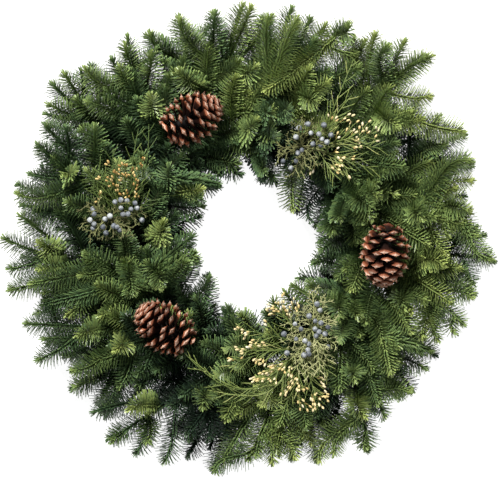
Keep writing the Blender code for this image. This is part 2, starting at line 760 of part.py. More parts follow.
def bare_boughs():
    """Every bough before its needles, in the order in which they get them."""
    boughs = [crest_bough(number) for number in range(len(CREST_TIER))]
    boughs += [outer_bough(HIGH, clamp) for clamp in range(CLAMP_COUNT)]
    boughs += [outer_bough(LOW, clamp) for clamp in range(CLAMP_COUNT)]
    boughs += [inner_bough(clamp) for clamp in range(CLAMP_COUNT)]
    return boughs


def material_name(name):
    """The finish that a piece has, from its name."""
    if name.endswith("_wire"):
        return "green_wire"
    return name.split("_")[0]


def main():
    """Build the wreath, with its origin under the middle of its box."""
    for old in list(bpy.data.objects):
        bpy.data.objects.remove(old)
    pieces = hard_pieces()
    boughs = bare_boughs()
    clearance = Clearance()
    for name, bm in pieces.items():
        clearance.add(name, bm)
    for bough in boughs:
        clearance.add(bough.name, bough.bm)
    draw = random.Random(SEED)
    for bough in boughs:
        bough.leaf(clearance, draw)
        pieces[bough.name] = bough.bm
    low, high = corners_of([vert.co for bm in pieces.values() for vert in bm.verts])
    wreath = bpy.data.objects.new("wreath", None)
    wreath.location = (-MM * (low.x + high.x) / 2.0, -MM * (low.y + high.y) / 2.0, 0.0)
    bpy.context.scene.collection.objects.link(wreath)
    materials = {name: finish_material(name, *look) for name, look in FINISHES.items()}
    for name, bm in pieces.items():
        finish_object(name, bm, materials[material_name(name)], wreath)


if __name__ == "__main__":
    main()
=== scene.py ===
"""The looks of a fir wreath with pine cones, cedar and juniper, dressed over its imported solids.

Every solid is replaced by a finer piece that grows from the same clamp of the ring and follows the
same line. Sizes are in millimetres about the ring's centre and become metres when a piece is
finished. A bearing is in degrees, anticlockwise from +X, and a reach is a distance from the ring's
axis. The small shapes that repeat, such as needles, scales and berries, are made once and copied,
and each copy is then bent and placed along its shoot.
"""

import logging
import math
from dataclasses import dataclass, field
from enum import Enum
from typing import Sequence, Union

import bmesh
import bpy
import numpy as np
from mathutils import Matrix, Vector
from mathutils.geometry import interpolate_bezier


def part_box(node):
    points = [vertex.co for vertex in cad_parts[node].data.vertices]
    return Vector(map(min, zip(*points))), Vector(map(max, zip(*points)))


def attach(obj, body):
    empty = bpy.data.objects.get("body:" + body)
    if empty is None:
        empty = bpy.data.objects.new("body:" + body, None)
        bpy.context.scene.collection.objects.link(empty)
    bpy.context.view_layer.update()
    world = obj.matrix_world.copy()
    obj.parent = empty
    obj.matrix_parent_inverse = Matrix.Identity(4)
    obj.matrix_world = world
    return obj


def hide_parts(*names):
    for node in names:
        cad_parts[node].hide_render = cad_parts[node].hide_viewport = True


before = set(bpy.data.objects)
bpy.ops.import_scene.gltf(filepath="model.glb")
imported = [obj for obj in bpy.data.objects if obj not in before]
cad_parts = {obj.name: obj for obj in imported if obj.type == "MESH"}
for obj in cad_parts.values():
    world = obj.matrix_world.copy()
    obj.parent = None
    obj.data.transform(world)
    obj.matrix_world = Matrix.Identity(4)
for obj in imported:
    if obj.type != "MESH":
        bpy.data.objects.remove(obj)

LOG = logging.getLogger("wreath")

Colour = tuple[float, float, float]
Pixel = tuple[int, int]
Shape = bmesh.types.BMesh
Material = bpy.types.Material
Tree = bpy.types.NodeTree
Socket = bpy.types.NodeSocket

MM = 0.001
TINY = 1e-6
UP = Vector((0.0, 0.0, 1.0))
GOLDEN_ANGLE = 137.508
SEED = 28

# The photograph's frame, the lens that it is seen through, and the height at which its scale is true
PHOTO_WIDTH = 500
PHOTO_HEIGHT = 477
PHOTO_RING_CENTRE = (254.0, 242.0)
MM_PER_PIXEL = 1.414
LENS = 150.0
SENSOR = 36.0
SHARP_HEIGHT = 45.0
CAMERA_DISTANCE = PHOTO_WIDTH * MM_PER_PIXEL * LENS / SENSOR

# The ring and its clamps
RING_RADIUS = 152.4
RING_STEPS = 36
CLAMP_COUNT = 12
FIRST_CLAMP = 15.0
CLAMP_PITCH = 360.0 / CLAMP_COUNT
CLAMP_REACH = RING_RADIUS * math.cos(math.pi / RING_STEPS)

# Where a stem lies in its clamp: how far outwards of the wire, and how high
STEM_LEAD = 8.0
SLOTS = {
    "low_outer": (2.7, 6.2),
    "low_inner": (-2.7, 6.2),
    "mid_outer": (2.7, 9.9),
    "mid_inner": (-2.7, 9.9),
    "top": (0.0, 13.6),
    "ridge": (0.0, 15.4),
}

# Curves of stems and of shoots: how many points, and the share of their span in their handles
STEM_STEPS = 36
STEM_SLACK = 0.4
SHOOT_STEPS = 14
SHOOT_SLACK = 0.36

# Outer boughs by clamp: tip bearing and reach, then the bearing and reach of the long side shoot
LOW_TIER = (
    (-4.5, 346, 1.5, 332), (27, 340, 20, 333), (55.5, 342, 61, 330), (81, 341, 76, 332),
    (108.5, 342, 114, 322), (142, 369, 133, 347), (166.5, 349, 171, 338), (191, 326, 184, 332),
    (219, 338, 211, 320), (253, 323, 260, 334), (286, 327, 280, 317), (317, 311, 328, 308),
)
HIGH_TIER = (
    (339, 319, 347, 322), (8, 311, 16, 322), (46.5, 365, 40, 325), (67, 339, 72, 325),
    (93, 337, 86, 323), (122, 342, 128, 330), (156, 337, 151, 341), (179.5, 356, 174, 335),
    (200, 344, 205, 330), (234, 349, 227, 333), (269, 308, 262, 315), (299, 336, 307, 311),
)
LOW_HEIGHTS = (17, 19, 18)
HIGH_HEIGHTS = (60, 56, 64, 58)

# A bough's end: how far needles reach past the tip, its leafy stretch with its whorls, and how its
# short side shoot ends beside it
TERMINAL = 8.0
LEAFY = 150.0
WHORLS = 7.0
WHORL_PITCH = LEAFY / WHORLS
SIDE_DROP = 2.0
SHORT_SIDE_BACK = 22.0
SHORT_SIDE_OUT = 34.0

# Inner boughs by clamp: tip bearing, reach and height
INNER_TIER = (
    (-14, 91, 26), (17, 89, 30), (38, 74, 24), (72, 87, 30), (104, 96, 34), (128, 93, 28),
    (157, 84, 24), (185, 87, 32), (219, 78, 26), (248, 104, 30), (282, 98, 26), (323, 80, 30),
)

# Further shoots that stand out: the pixels of tip and root, the tip's height and the shade
FEATURES = (
    ((263, 92), (340, 42), 88, 0.72), ((260, 117), (230, 146), 92, 0.54), ((278, 109), (254, 114), 88, 0.5),
    ((321, 102), (284, 92), 88, 0.56), ((280, 139), (256, 127), 86, 0.48), ((252, 4), (232, 66), 74, 0.62),
    ((216, 10), (206, 78), 78, 0.34), ((268, 15), (258, 80), 72, 0.5), ((299, 16), (272, 58), 80, 0.6),
    ((180, 16), (184, 64), 76, 0.52), ((151, 50), (152, 100), 74, 0.5), ((119, 64), (128, 104), 72, 0.5),
    ((84, 66), (108, 110), 72, 0.54), ((258, 64), (238, 84), 84, 0.6), ((176, 68), (194, 90), 84, 0.56),
    ((149, 92), (158, 130), 90, 0.6), ((347, 22), (353, 60), 78, 0.46), ((390, 44), (360, 68), 78, 0.42),
    ((430, 55), (374, 87), 72, 0.5), ((466, 131), (394, 128), 74, 0.7), ((400, 129), (358, 100), 90, 0.6),
    ((15, 192), (66, 218), 72, 0.46), ((36, 241), (66, 254), 76, 0.66), ((36, 270), (80, 262), 76, 0.64),
    ((29, 284), (132, 264), 82, 0.4), ((61, 176), (84, 168), 80, 0.58), ((133, 297), (125, 246), 90, 0.44),
    ((163, 218), (160, 244), 92, 0.66), ((423, 222), (404, 196), 80, 0.55), ((373, 221), (357, 196), 84, 0.5),
    ((382, 198), (361, 188), 86, 0.56), ((446, 267), (417, 242), 76, 0.72),
    ((471, 211), (433, 198), 74, 0.56), ((406, 312), (397, 290), 78, 0.5), ((474, 299), (438, 275), 72, 0.5),
    ((205, 188), (166, 196), 80, 0.76), ((293, 213), (290, 180), 60, 0.6), ((258, 405), (295, 393), 80, 0.72),
    ((214, 474), (226, 434), 66, 0.36), ((295, 460), (286, 425), 72, 0.62), ((320, 463), (319, 414), 72, 0.6),
    ((226, 422), (230, 402), 78, 0.6), ((75, 337), (115, 320), 80, 0.56), ((70, 371), (124, 365), 72, 0.5),
    ((127, 412), (157, 391), 80, 0.68), ((112, 352), (130, 342), 84, 0.72), ((110, 443), (130, 427), 62, 0.4),
    ((145, 445), (157, 423), 66, 0.42), ((201, 410), (210, 376), 82, 0.5), ((255, 459), (262, 429), 68, 0.48),
    ((458, 334), (438, 321), 66, 0.5), ((424, 341), (420, 319), 76, 0.64), ((398, 350), (391, 329), 80, 0.5),
    ((392, 376), (380, 350), 82, 0.58), ((356, 384), (350, 362), 84, 0.48),
    ((412, 394), (393, 384), 68, 0.48), ((367, 419), (335, 385), 80, 0.68), ((283, 289), (300, 314), 60, 0.5),
    ((291, 283), (312, 302), 64, 0.46), ((261, 184), (262, 166), 40, 0.12), ((244, 173), (218, 173), 44, 0.2),
    ((317, 231), (334, 222), 50, 0.4), ((318, 252), (336, 240), 50, 0.4), ((311, 223), (301, 200), 44, 0.16),
    ((199, 262), (182, 256), 50, 0.44), ((272, 297), (280, 318), 56, 0.44), ((206, 205), (176, 212), 52, 0.4),
    ((196, 234), (172, 252), 50, 0.36), ((210, 275), (200, 304), 50, 0.4), ((226, 304), (240, 328), 50, 0.4),
    ((261, 311), (282, 322), 52, 0.36), ((311, 265), (336, 254), 46, 0.4), ((317, 243), (335, 232), 46, 0.36),
    ((222, 186), (196, 182), 48, 0.3), ((494, 259), (442, 250), 56, 0.5), ((480, 237), (436, 228), 60, 0.46),
    ((474, 162), (420, 148), 62, 0.52), ((434, 352), (400, 336), 56, 0.42), ((84, 100), (149, 123), 66, 0.46),
    ((94, 124), (98, 190), 66, 0.42), ((124, 42), (136, 84), 64, 0.5), ((40, 305), (84, 292), 56, 0.3),
    ((366, 451), (357, 423), 66, 0.46), ((334, 457), (332, 412), 72, 0.5), ((161, 291), (157, 252), 88, 0.46),
)

# The same for shoots low on the rim, which grow on the lower tier
RIM_FEATURES = (
    ((63, 71), (90, 112), 36, 0.5), ((46, 103), (84, 124), 36, 0.48), ((45, 123), (84, 140), 38, 0.46),
    ((74, 96), (106, 134), 46, 0.5), ((36, 146), (74, 164), 38, 0.46), ((72, 388), (112, 372), 40, 0.44),
    ((98, 412), (134, 388), 42, 0.44), ((66, 356), (108, 348), 40, 0.4), ((34, 314), (84, 304), 38, 0.38),
    ((44, 344), (92, 330), 40, 0.36), ((428, 370), (394, 350), 46, 0.46), ((448, 146), (402, 140), 50, 0.5),
    ((452, 262), (412, 250), 52, 0.5), ((150, 30), (156, 74), 44, 0.46), ((164, 56), (160, 92), 48, 0.46),
    ((78, 128), (106, 150), 48, 0.46), ((72, 134), (100, 162), 44, 0.44),
)

# By clamp: how much lighter its outer and its inner boughs are, and how much further they reach
OUTER_TONES = (0.13, 0.25, 0.14, -0.01, 0.13, -0.05, -0.13, -0.04, -0.14, -0.3, 0.03, -0.07)
INNER_TONES = (0.26, 0.18, -0.18, -0.36, 0.02, -0.18, -0.18, -0.04, 0.14, -0.1, 0.06, -0.03)
FULLNESS = (-4.0, 0.0, -18.0, 0.0, -20.0, -4.0, 0.0, -20.0, -8.0, -8.0, 4.0, 0.0)

# Crest boughs: clamp, slot, tip bearing, reach and height
CREST_TIER = (
    (1, "mid_inner", 18, 168, 92), (3, "mid_inner", 79, 150, 92), (5, "mid_inner", 140, 156, 92),
    (7, "mid_inner", 192, 150, 84), (9, "mid_inner", 257, 152, 78), (11, "mid_inner", 319, 156, 86),
    (3, "top", 83, 222, 84), (7, "top", 196, 224, 76), (9, "top", 262, 224, 72),
    (11, "top", 323, 222, 80),
)

# Cones: bearing, reach and height of the middle, the way the tip points, and the clamp
CONES = {
    "cone_upper_left": (117.0, 193.0, 88.0, (0.88, 0.47, 0.10), 4),
    "cone_lower_left": (224.0, 172.0, 88.0, (-0.82, 0.57, 0.06), 8),
    "cone_right": (-5.3, 183.0, 90.0, (-0.08, -0.90, -0.30), 0),
}

# Cedar sprays: clamp, hub, the ends of the long strands, some with how far they bow out to the
# right, and the pollen cones by pixel
CEDARS = {
    "cedar_upper_right": (2, (92, 131, 72), (
        (175, 156, 90), (180, 130, 86), (171, 99, 84), (153, 116, 94), (139, 144, 96),
        (136, 204, 90), (139, 255, 86), (112, 90, 84), (132, 98, 90), (116, 176, 92),
    ), (
        (369, 122), (357, 122), (347, 121), (352, 116), (332, 119), (336, 121), (350, 132), (355, 133),
        (362, 132), (377, 131), (368, 133), (377, 141), (338, 138), (355, 141), (358, 144), (360, 147),
        (354, 148), (336, 152), (340, 160), (338, 157), (352, 159), (339, 165), (332, 167), (337, 172),
        (311, 172), (348, 177),
    )),
    "cedar_left": (6, (-178, 26, 70), (
        (-218, 109, 88), (-196, 130, 92), (-161, 158, 90), (-147, 165, 84), (-178, 109, 96),
        (-208, 88, 92), (-158, 116, 94), (-166, 84, 90), (-227, 78, 84), (-144, 60, 86),
    ), (
        (109, 163), (127, 166), (123, 165), (120, 171), (117, 174), (123, 175), (127, 177), (126, 174),
        (133, 174), (137, 170), (142, 167), (144, 160), (135, 177), (138, 182), (137, 186), (122, 180),
        (113, 178), (112, 181), (100, 178), (114, 185), (118, 187), (118, 191), (101, 193), (99, 200),
        (127, 194), (124, 195), (129, 197), (136, 195), (138, 197), (136, 190),
    )),
    "cedar_lower_right": (10, (66, -148, 72), (
        (-98, -153, 94, -1.15), (-90, -160, 92, -1.05), (-65, -206, 90, -0.7), (-52, -212, 88, -0.6),
        (-13, -216, 86), (37, -238, 84), (93, -230, 84), (-41, -176, 92), (11, -195, 95),
        (62, -209, 92), (30, -82, 78), (-6, -150, 94), (-22, -122, 86), (104, -186, 88),
    ), (
        (239, 328), (243, 330), (246, 333), (249, 332), (266, 322), (254, 340), (252, 343), (251, 347),
        (264, 343), (261, 345), (237, 347), (244, 349), (243, 353), (230, 358), (232, 359), (255, 359),
        (261, 359), (262, 363), (258, 360), (273, 365), (270, 366), (265, 371), (272, 371), (261, 373),
        (252, 378), (255, 377), (259, 378), (264, 378), (269, 378), (275, 378), (282, 364), (286, 365),
        (283, 369), (290, 367), (290, 370), (289, 374), (292, 380), (289, 382), (296, 378), (298, 382),
        (289, 386), (286, 390), (281, 393), (297, 388), (299, 389), (303, 389), (321, 382), (323, 384),
        (325, 391), (315, 394), (324, 396), (311, 398), (319, 398), (327, 400), (298, 401), (313, 403),
        (319, 404), (300, 408), (307, 409), (313, 409), (284, 295), (284, 303), (292, 304), (298, 305),
        (299, 308), (281, 310), (285, 309), (288, 312), (290, 316), (277, 310), (279, 304), (272, 310),
        (268, 311), (269, 305), (274, 307), (294, 300),
    )),
}

# How much lighter each cedar spray is, and where on a coned strand further pollen cones branch off
CEDAR_LOOKS = {
    "cedar_upper_right": (0.0, (0.6,)),
    "cedar_left": (-0.4, (0.6,)),
    "cedar_lower_right": (0.0, (0.65,)),
}

# Juniper: clamp, hub, the bearing of the first twig, then berries and frond ends by pixel
JUNIPERS = {
    "juniper_upper_right": (2, (66, 134, 86), 10.0, (
        (308, 124), (324, 125), (311, 133), (319, 134), (322, 139), (321, 145), (296, 137), (331, 135),
        (302, 150), (298, 153), (296, 161), (291, 168), (283, 161), (313, 144), (327, 142), (299, 128),
    ), (
        (283, 148), (277, 158), (300, 174), (312, 162), (287, 138), (314, 122), (328, 152), (318, 167),
        (292, 176), (330, 128), (305, 119),
    )),
    "juniper_left": (6, (-202, 34, 88), 50.0, (
        (115, 202), (121, 200), (127, 201), (135, 203), (131, 209), (137, 208), (123, 214), (128, 214),
        (110, 216), (121, 208), (105, 219), (94, 214), (90, 220), (94, 224), (93, 228), (103, 227),
        (114, 226), (120, 230), (106, 233), (93, 209), (117, 227), (142, 220),
    ), (
        (84, 206), (80, 224), (88, 238), (102, 241), (113, 238), (127, 237), (97, 204), (117, 207),
        (137, 216), (109, 209), (133, 228), (143, 211),
    )),
    "juniper_lower_right": (10, (80, -122, 86), 30.0, (
        (317, 304), (320, 310), (309, 316), (321, 323), (295, 324), (301, 329), (315, 329), (319, 332),
        (325, 334), (316, 336), (296, 339), (309, 344), (305, 341), (328, 347), (308, 350), (287, 353),
        (304, 355), (309, 354), (284, 334), (328, 327), (315, 321),
    ), (
        (320, 372), (309, 378), (297, 370), (329, 362), (312, 291), (326, 297), (301, 312), (287, 322),
        (335, 322), (316, 301), (336, 345), (283, 345), (303, 362), (324, 352), (290, 360), (313, 366),
    )),
}

# How much lighter each juniper bunch is, and how far apart its branchlets are
JUNIPER_LOOKS = {
    "juniper_upper_right": (-0.38, 6.4),
    "juniper_left": (-0.45, 6.8),
    "juniper_lower_right": (0.14, 4.4),
}


def polar(bearing: float, reach: float, height: float = 0.0) -> Vector:
    """A point from its bearing, its reach and its height."""
    angle = math.radians(bearing)
    return Vector((reach * math.cos(angle), reach * math.sin(angle), height))


def clockwise(bearing: float) -> Vector:
    """The way clockwise round the ring at a bearing."""
    return polar(bearing - 90.0, 1.0)


def clamp_bearing(number: int) -> float:
    """The bearing of a clamp, counted anticlockwise from the first one."""
    return FIRST_CLAMP + CLAMP_PITCH * number


def from_photo(across: float, down: float, height: float) -> Vector:
    """The point at a height that shows at a pixel of the photograph's frame.

    Args:
        across: Pixels from the frame's left side.
        down: Pixels from its top.
        height: The point's height.

    Returns:
        The point, about the ring's centre.
    """
    nearer = 1.0 - (height - SHARP_HEIGHT) / CAMERA_DISTANCE
    middle = (PHOTO_WIDTH / 2.0, PHOTO_HEIGHT / 2.0)
    x = middle[0] + nearer * (across - middle[0]) - PHOTO_RING_CENTRE[0]
    y = PHOTO_RING_CENTRE[1] - middle[1] - nearer * (down - middle[1])
    return Vector((x * MM_PER_PIXEL, y * MM_PER_PIXEL, height))


def outward(bearing: float, sweep: float, climb: float) -> Vector:
    """A tip's way: outwards, swept clockwise by so many degrees, with a climb."""
    return (polar(bearing - sweep, 1.0) + climb * UP).normalized()


class Course:
    """A smooth line with the way ahead and the way over the back at every point of it."""

    def __init__(self, points: Sequence[Vector], over: Vector = UP) -> None:
        """Measure the line.

        Args:
            points: The points that the line goes through.
            over: The way over the back at its start.
        """
        self.points = np.array([tuple(point) for point in points])
        steps = np.linalg.norm(np.diff(self.points, axis=0), axis=1)
        self.marks = np.concatenate(([0.0], np.cumsum(steps)))
        self.length = float(self.marks[-1])
        ahead = np.gradient(self.points, axis=0)
        self.ahead = ahead / np.linalg.norm(ahead, axis=1)[:, None]
        backs = []
        back = np.array(tuple(over))
        for way in self.ahead:
            back = back - way * back.dot(way)
            back = back / np.linalg.norm(back)
            backs.append(back)
        self.over = np.array(backs)

    def stations(self, distances: np.ndarray) -> tuple[np.ndarray, np.ndarray, np.ndarray]:
        """Read the line at some distances.

        Args:
            distances: Distances from its start.

        Returns:
            The points, the ways ahead and the ways over the back.
        """
        def read(values: np.ndarray) -> np.ndarray:
            """The values between the line's own points."""
            columns = [np.interp(distances, self.marks, values[:, axis]) for axis in range(3)]
            return np.stack(columns, axis=-1)

        ahead = unit(read(self.ahead))
        over = read(self.over)
        over = unit(over - ahead * np.sum(over * ahead, axis=-1, keepdims=True))
        return read(self.points), ahead, over

    def station(self, distance: float) -> tuple[Vector, Vector, Vector]:
        """The point, the way ahead and the way over the back at one distance."""
        return tuple(Vector(row[0]) for row in self.stations(np.array([distance])))


def unit(ways: np.ndarray) -> np.ndarray:
    """The same ways, each of length one."""
    return ways / np.linalg.norm(ways, axis=-1, keepdims=True)


def clamped_course(
    clamp: int, slot: str, tip: Vector, finish: Vector, slack: float = STEM_SLACK
) -> Course:
    """The course of a stem: straight through its clamp's slot, then one curve to its tip.

    Args:
        clamp: The clamp's number.
        slot: The name of the stem's slot in it.
        tip: Where the stem ends.
        finish: The way that it points there.
        slack: The length of the curve's handles, as a share of its span.

    Returns:
        The course.
    """
    bearing = clamp_bearing(clamp)
    outwards, height = SLOTS[slot]
    along = clockwise(bearing)
    middle = polar(bearing, CLAMP_REACH + outwards, height)
    leave = middle + STEM_LEAD * along
    handle = slack * (tip - leave).length
    curve = interpolate_bezier(leave, leave + handle * along, tip - handle * finish, tip, STEM_STEPS)
    return Course([middle - STEM_LEAD * along, *curve])


def free_course(
    start: Vector, set_off: Vector, tip: Vector, finish: Vector, over: Vector = UP,
    slack: float = SHOOT_SLACK,
) -> Course:
    """The course of a shoot from one point and way to another.

    Args:
        start: Where the shoot starts.
        set_off: The way that it points there.
        tip: Where it ends.
        finish: The way that it points there.
        over: The way over its back at its start.
        slack: The length of the curve's handles, as a share of its span.

    Returns:
        The course.
    """
    handle = slack * (tip - start).length
    curve = interpolate_bezier(start, start + handle * set_off, tip - handle * finish, tip, SHOOT_STEPS)
    return Course(curve, over)


class Stamp:
    """A small closed shape that is copied many times into one piece."""

    def __init__(self, name: str, bm: Shape, smooth: bool = True) -> None:
        """Keep the shape as a mesh.

        Args:
            name: What the shape is.
            bm: The shape, which is used up.
            smooth: Whether its faces are shaded smooth.
        """
        bmesh.ops.recalc_face_normals(bm, faces=bm.faces)
        for face in bm.faces:
            face.smooth = smooth
        self.mesh = bpy.data.meshes.new(name)
        bm.to_mesh(self.mesh)
        bm.free()
        flat = np.empty(3 * len(self.mesh.vertices))
        self.mesh.vertices.foreach_get("co", flat)
        self.verts = flat.reshape(-1, 3)

    def copies(self, count: int, material: int) -> bpy.types.Mesh:
        """Copy the shape.

        Args:
            count: How many copies.
            material: The place of their material on the piece.

        Returns:
            A mesh of all the copies, one after another.
        """
        bm = bmesh.new()
        bm.from_mesh(self.mesh)
        for face in bm.faces:
            face.material_index = material
        sizes = (len(bm.verts), len(bm.edges), len(bm.faces))
        made = 1
        while made < count:
            take = min(made, count - made)
            verts, edges, faces = (take * size for size in sizes)
            geometry = bm.verts[:verts] + bm.edges[:edges] + bm.faces[:faces]
            bmesh.ops.duplicate(bm, geom=geometry)
            made += take
        mesh = bpy.data.meshes.new("copies")
        bm.to_mesh(mesh)
        bm.free()
        return mesh


@dataclass
class Layer:
    """Copies of one stamp in a piece, as they were added."""

    stamp: Stamp
    places: np.ndarray
    tone: np.ndarray
    reach: np.ndarray
    material: int


class Piece:
    """One finished piece: layers of copied shapes, made one mesh."""

    def __init__(self, name: str, centre: Vector) -> None:
        """Start an empty piece.

        Args:
            name: The piece's name.
            centre: The ring's centre, in metres.
        """
        self.name = name
        self.centre = centre
        self.layers: list[Layer] = []

    def add(
        self, stamp: Stamp, places: np.ndarray, tone: np.ndarray, reach: np.ndarray,
        material: int = 0,
    ) -> None:
        """Add copies of a stamp.

        Args:
            stamp: The shape.
            places: Where each vertex of each copy goes: copies, vertices, three.
            tone: The shade of each copy.
            reach: How far towards the tip each vertex is: copies, vertices, or one for all copies.
            material: The place of their material on the piece.
        """
        if len(places):
            reach = np.broadcast_to(reach, places.shape[:2])
            self.layers.append(Layer(stamp, places, tone, reach, material))

    def finish(self, nodes: Sequence[str], slot: str, materials: Sequence[Material]) -> None:
        """Make the piece's mesh and object.

        Args:
            nodes: The CAD nodes that it stands for.
            slot: The name of a material slot; not used.
            materials: Its materials, in the order that the layers name.
        """
        bm = bmesh.new()
        for layer in self.layers:
            mesh = layer.stamp.copies(len(layer.places), layer.material)
            bm.from_mesh(mesh)
            bpy.data.meshes.remove(mesh)
        mesh = bpy.data.meshes.new(self.name)
        bm.to_mesh(mesh)
        bm.free()
        places = np.concatenate([layer.places.reshape(-1, 3) for layer in self.layers])
        places = places * MM + np.array(tuple(self.centre))
        mesh.vertices.foreach_set("co", places.ravel())
        tones = [np.repeat(layer.tone, layer.places.shape[1]) for layer in self.layers]
        reaches = [layer.reach.ravel() for layer in self.layers]
        for name, values in (("tone", tones), ("reach", reaches)):
            attribute = mesh.attributes.new(name, "FLOAT", "POINT")
            attribute.data.foreach_set("value", np.concatenate(values).astype(np.float32))
        mesh.update()
        for material in materials:
            mesh.materials.append(material)
        piece = bpy.data.objects.new(self.name, mesh)
        bpy.context.scene.collection.objects.link(piece)
        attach(piece, "root")
        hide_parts(*nodes)
        triangles = sum(len(polygon.vertices) - 2 for polygon in mesh.polygons)
        LOG.info("%s: %d triangles", self.name, triangles)


def tube(sides: int, rings: int) -> Shape:
    """A closed tube of radius one along +Z, with its rings one apart.

    Args:
        sides: How many sides it has.
        rings: How many rings of corners it has.

    Returns:
        The shape.
    """
    bm = bmesh.new()
    bmesh.ops.create_cone(
        bm, cap_ends=True, segments=sides, radius1=1.0, radius2=1.0, depth=1.0,
        matrix=Matrix.Translation((0.0, 0.0, 0.5)),
    )
    bm.normal_update()
    end = max(bm.faces, key=lambda face: face.normal.z)
    for _ in range(rings - 2):
        end = bmesh.ops.extrude_discrete_faces(bm, faces=[end])["faces"][0]
        bmesh.ops.translate(bm, vec=UP, verts=end.verts[:])
    return bm


def ring_numbers(stamp: Stamp) -> np.ndarray:
    """Which ring of a tube each of its vertices is on, counted from its root."""
    return np.rint(stamp.verts[:, 2]).astype(int)


def bend_tubes(
    stamp: Stamp, courses: Sequence[Course], widths: np.ndarray, flat: float = 1.0
) -> np.ndarray:
    """Lay copies of a tube along courses.

    Args:
        stamp: The tube.
        courses: One for each copy.
        widths: The radius at each ring of each copy.
        flat: The thickness as a share of the width.

    Returns:
        Where each vertex of each copy goes.
    """
    rings = ring_numbers(stamp)
    places = np.empty((len(courses), len(stamp.verts), 3))
    for number, course in enumerate(courses):
        distances = np.linspace(0.0, course.length, rings.max() + 1)
        points, ahead, over = course.stations(distances)
        across = np.cross(ahead, over)
        width = widths[number][rings][:, None]
        places[number] = (
            points[rings]
            + width * stamp.verts[:, :1] * across[rings]
            + flat * width * stamp.verts[:, 1:2] * over[rings]
        )
    return places


def ball(around: int, along: int) -> Shape:
    """A ball of radius one.

    Args:
        around: How many faces go round it.
        along: How many go from pole to pole.

    Returns:
        The shape.
    """
    bm = bmesh.new()
    bmesh.ops.create_uvsphere(bm, u_segments=around, v_segments=along, radius=1.0)
    return bm


def needle_shape() -> Shape:
    """A blunt needle of four faces, as wide at each end.

    Returns:
        The shape: x across, y its thickness and z along it.
    """
    bm = bmesh.new()
    for corner in ((-1.0, -1.0, 0.0), (1.0, 1.0, 0.0), (-1.0, 1.0, 1.0), (1.0, -1.0, 1.0)):
        bm.verts.new(corner)
    bmesh.ops.convex_hull(bm, input=bm.verts[:])
    return bm


@dataclass(frozen=True)
class NeedleRow:
    """A row of needles along a shoot."""

    # Degrees round the shoot from its back, the spacing along it, and degrees from the way ahead
    turn: float
    pitch: float
    lean: float

    # Its needles' length as a share of the longest, how much lighter they are, their half width at
    # the end, and how far along the first one is shifted, as a share of the spacing
    share: float
    shift: float
    end: float
    phase: float


# The rows of one side, which the other side mirrors
SIDE_PHASE = 0.25
NEEDLE_ROWS = tuple(
    NeedleRow(side * turn, pitch, lean, share, shift, end, phase + SIDE_PHASE * side)
    for turn, pitch, lean, share, shift, end, phase in (
        (88, 4.2, 78, 1.0, 0.02, 0.95, 0.0), (108, 4.2, 76, 0.7, -0.12, 0.95, 0.5),
        (138, 6.0, 72, 0.64, -0.18, 0.95, 0.3),
        (66, 4.2, 73, 0.88, 0.04, 0.9, 0.04), (44, 4.2, 66, 0.76, 0.03, 0.85, 0.5),
        (16, 3.4, 58, 0.56, 0.03, 0.75, 0.25),
    )
    for side in (1, -1)
)

# Every needle: the half width of its foot, its thickness as a share, how it curls ahead and rises,
# how its root, turn, lean, length and tone vary, and how far it keeps off the floor
NEEDLE_FOOT = 1.0
NEEDLE_FLATNESS = 0.45
NEEDLE_CURL = 0.1
NEEDLE_RISE = 0.08
ROOT_SPREAD = 0.1
TURN_SPREAD = 3.0
LEAN_SPREAD = 2.2
LENGTH_SPREAD = 0.05
TONE_SPREAD = 0.06
FLOOR_GAP = 0.8

# Towards a shoot's tip: over what stretch needles shorten, close up and lighten, and by how much
TIP_STRETCH = 8.0
TIP_SHORTENING = 0.45
TIP_LEANING = 0.4
TIP_LIGHTENING = 0.12

# The tuft at the tip: how many needles, from how far back, and their leans, lengths, tone and end
TUFT_COUNT = 24
TUFT_DEPTH = 3.0
TUFT_LEANS = (4.0, 100.0)
TUFT_SHARES = (0.7, 1.0)
TUFT_SHIFT = 0.08
TUFT_END = 0.7

# What lies on the foliage: the middle, reach and height of the room that it has pressed clear
PRESSED = (
    (polar(117.0, 193.0), 24.0, 62.0), (polar(224.0, 172.0), 24.0, 62.0),
    (polar(-5.3, 183.0), 24.0, 62.0),
    (Vector((125.0, 138.0, 0.0)), 46.0, 74.0), (Vector((-186.0, 92.0, 0.0)), 42.0, 76.0),
    (Vector((48.0, -186.0, 0.0)), 52.0, 76.0), (Vector((-22.0, -152.0, 0.0)), 44.0, 76.0),
    (Vector((66.0, 134.0, 0.0)), 28.0, 80.0), (Vector((-202.0, 34.0, 0.0)), 34.0, 82.0),
    (Vector((80.0, -122.0, 0.0)), 38.0, 80.0), (Vector((20.0, -85.0, 0.0)), 24.0, 66.0),
)

# How the pressed room widens with height, what share of the rest stands out of it, and the lowest
# height of anything
PRESSED_SLOPE = 0.8
PRESSED_GIVE = 0.12
LOWEST = 0.1


def press_down(places: np.ndarray) -> np.ndarray:
    """Press foliage down where a cone, cedar or juniper lies on it, and keep it off the floor.

    Args:
        places: Points of the foliage, which are changed.

    Returns:
        The same points.
    """
    ceiling = np.full(places.shape[:-1], np.inf)
    for middle, reach, height in PRESSED:
        gap = np.hypot(places[..., 0] - middle.x, places[..., 1] - middle.y)
        ceiling = np.minimum(ceiling, height + PRESSED_SLOPE * np.maximum(0.0, gap - reach))
    above = places[..., 2] - ceiling
    places[..., 2] = np.where(above > 0.0, ceiling + PRESSED_GIVE * above, places[..., 2])
    places[..., 2] = np.maximum(places[..., 2], LOWEST)
    return places


# The radius of a side shoot's stem and of a main stem, at their roots
TWIG_THICK = 1.3
LIMB_THICK = 2.0


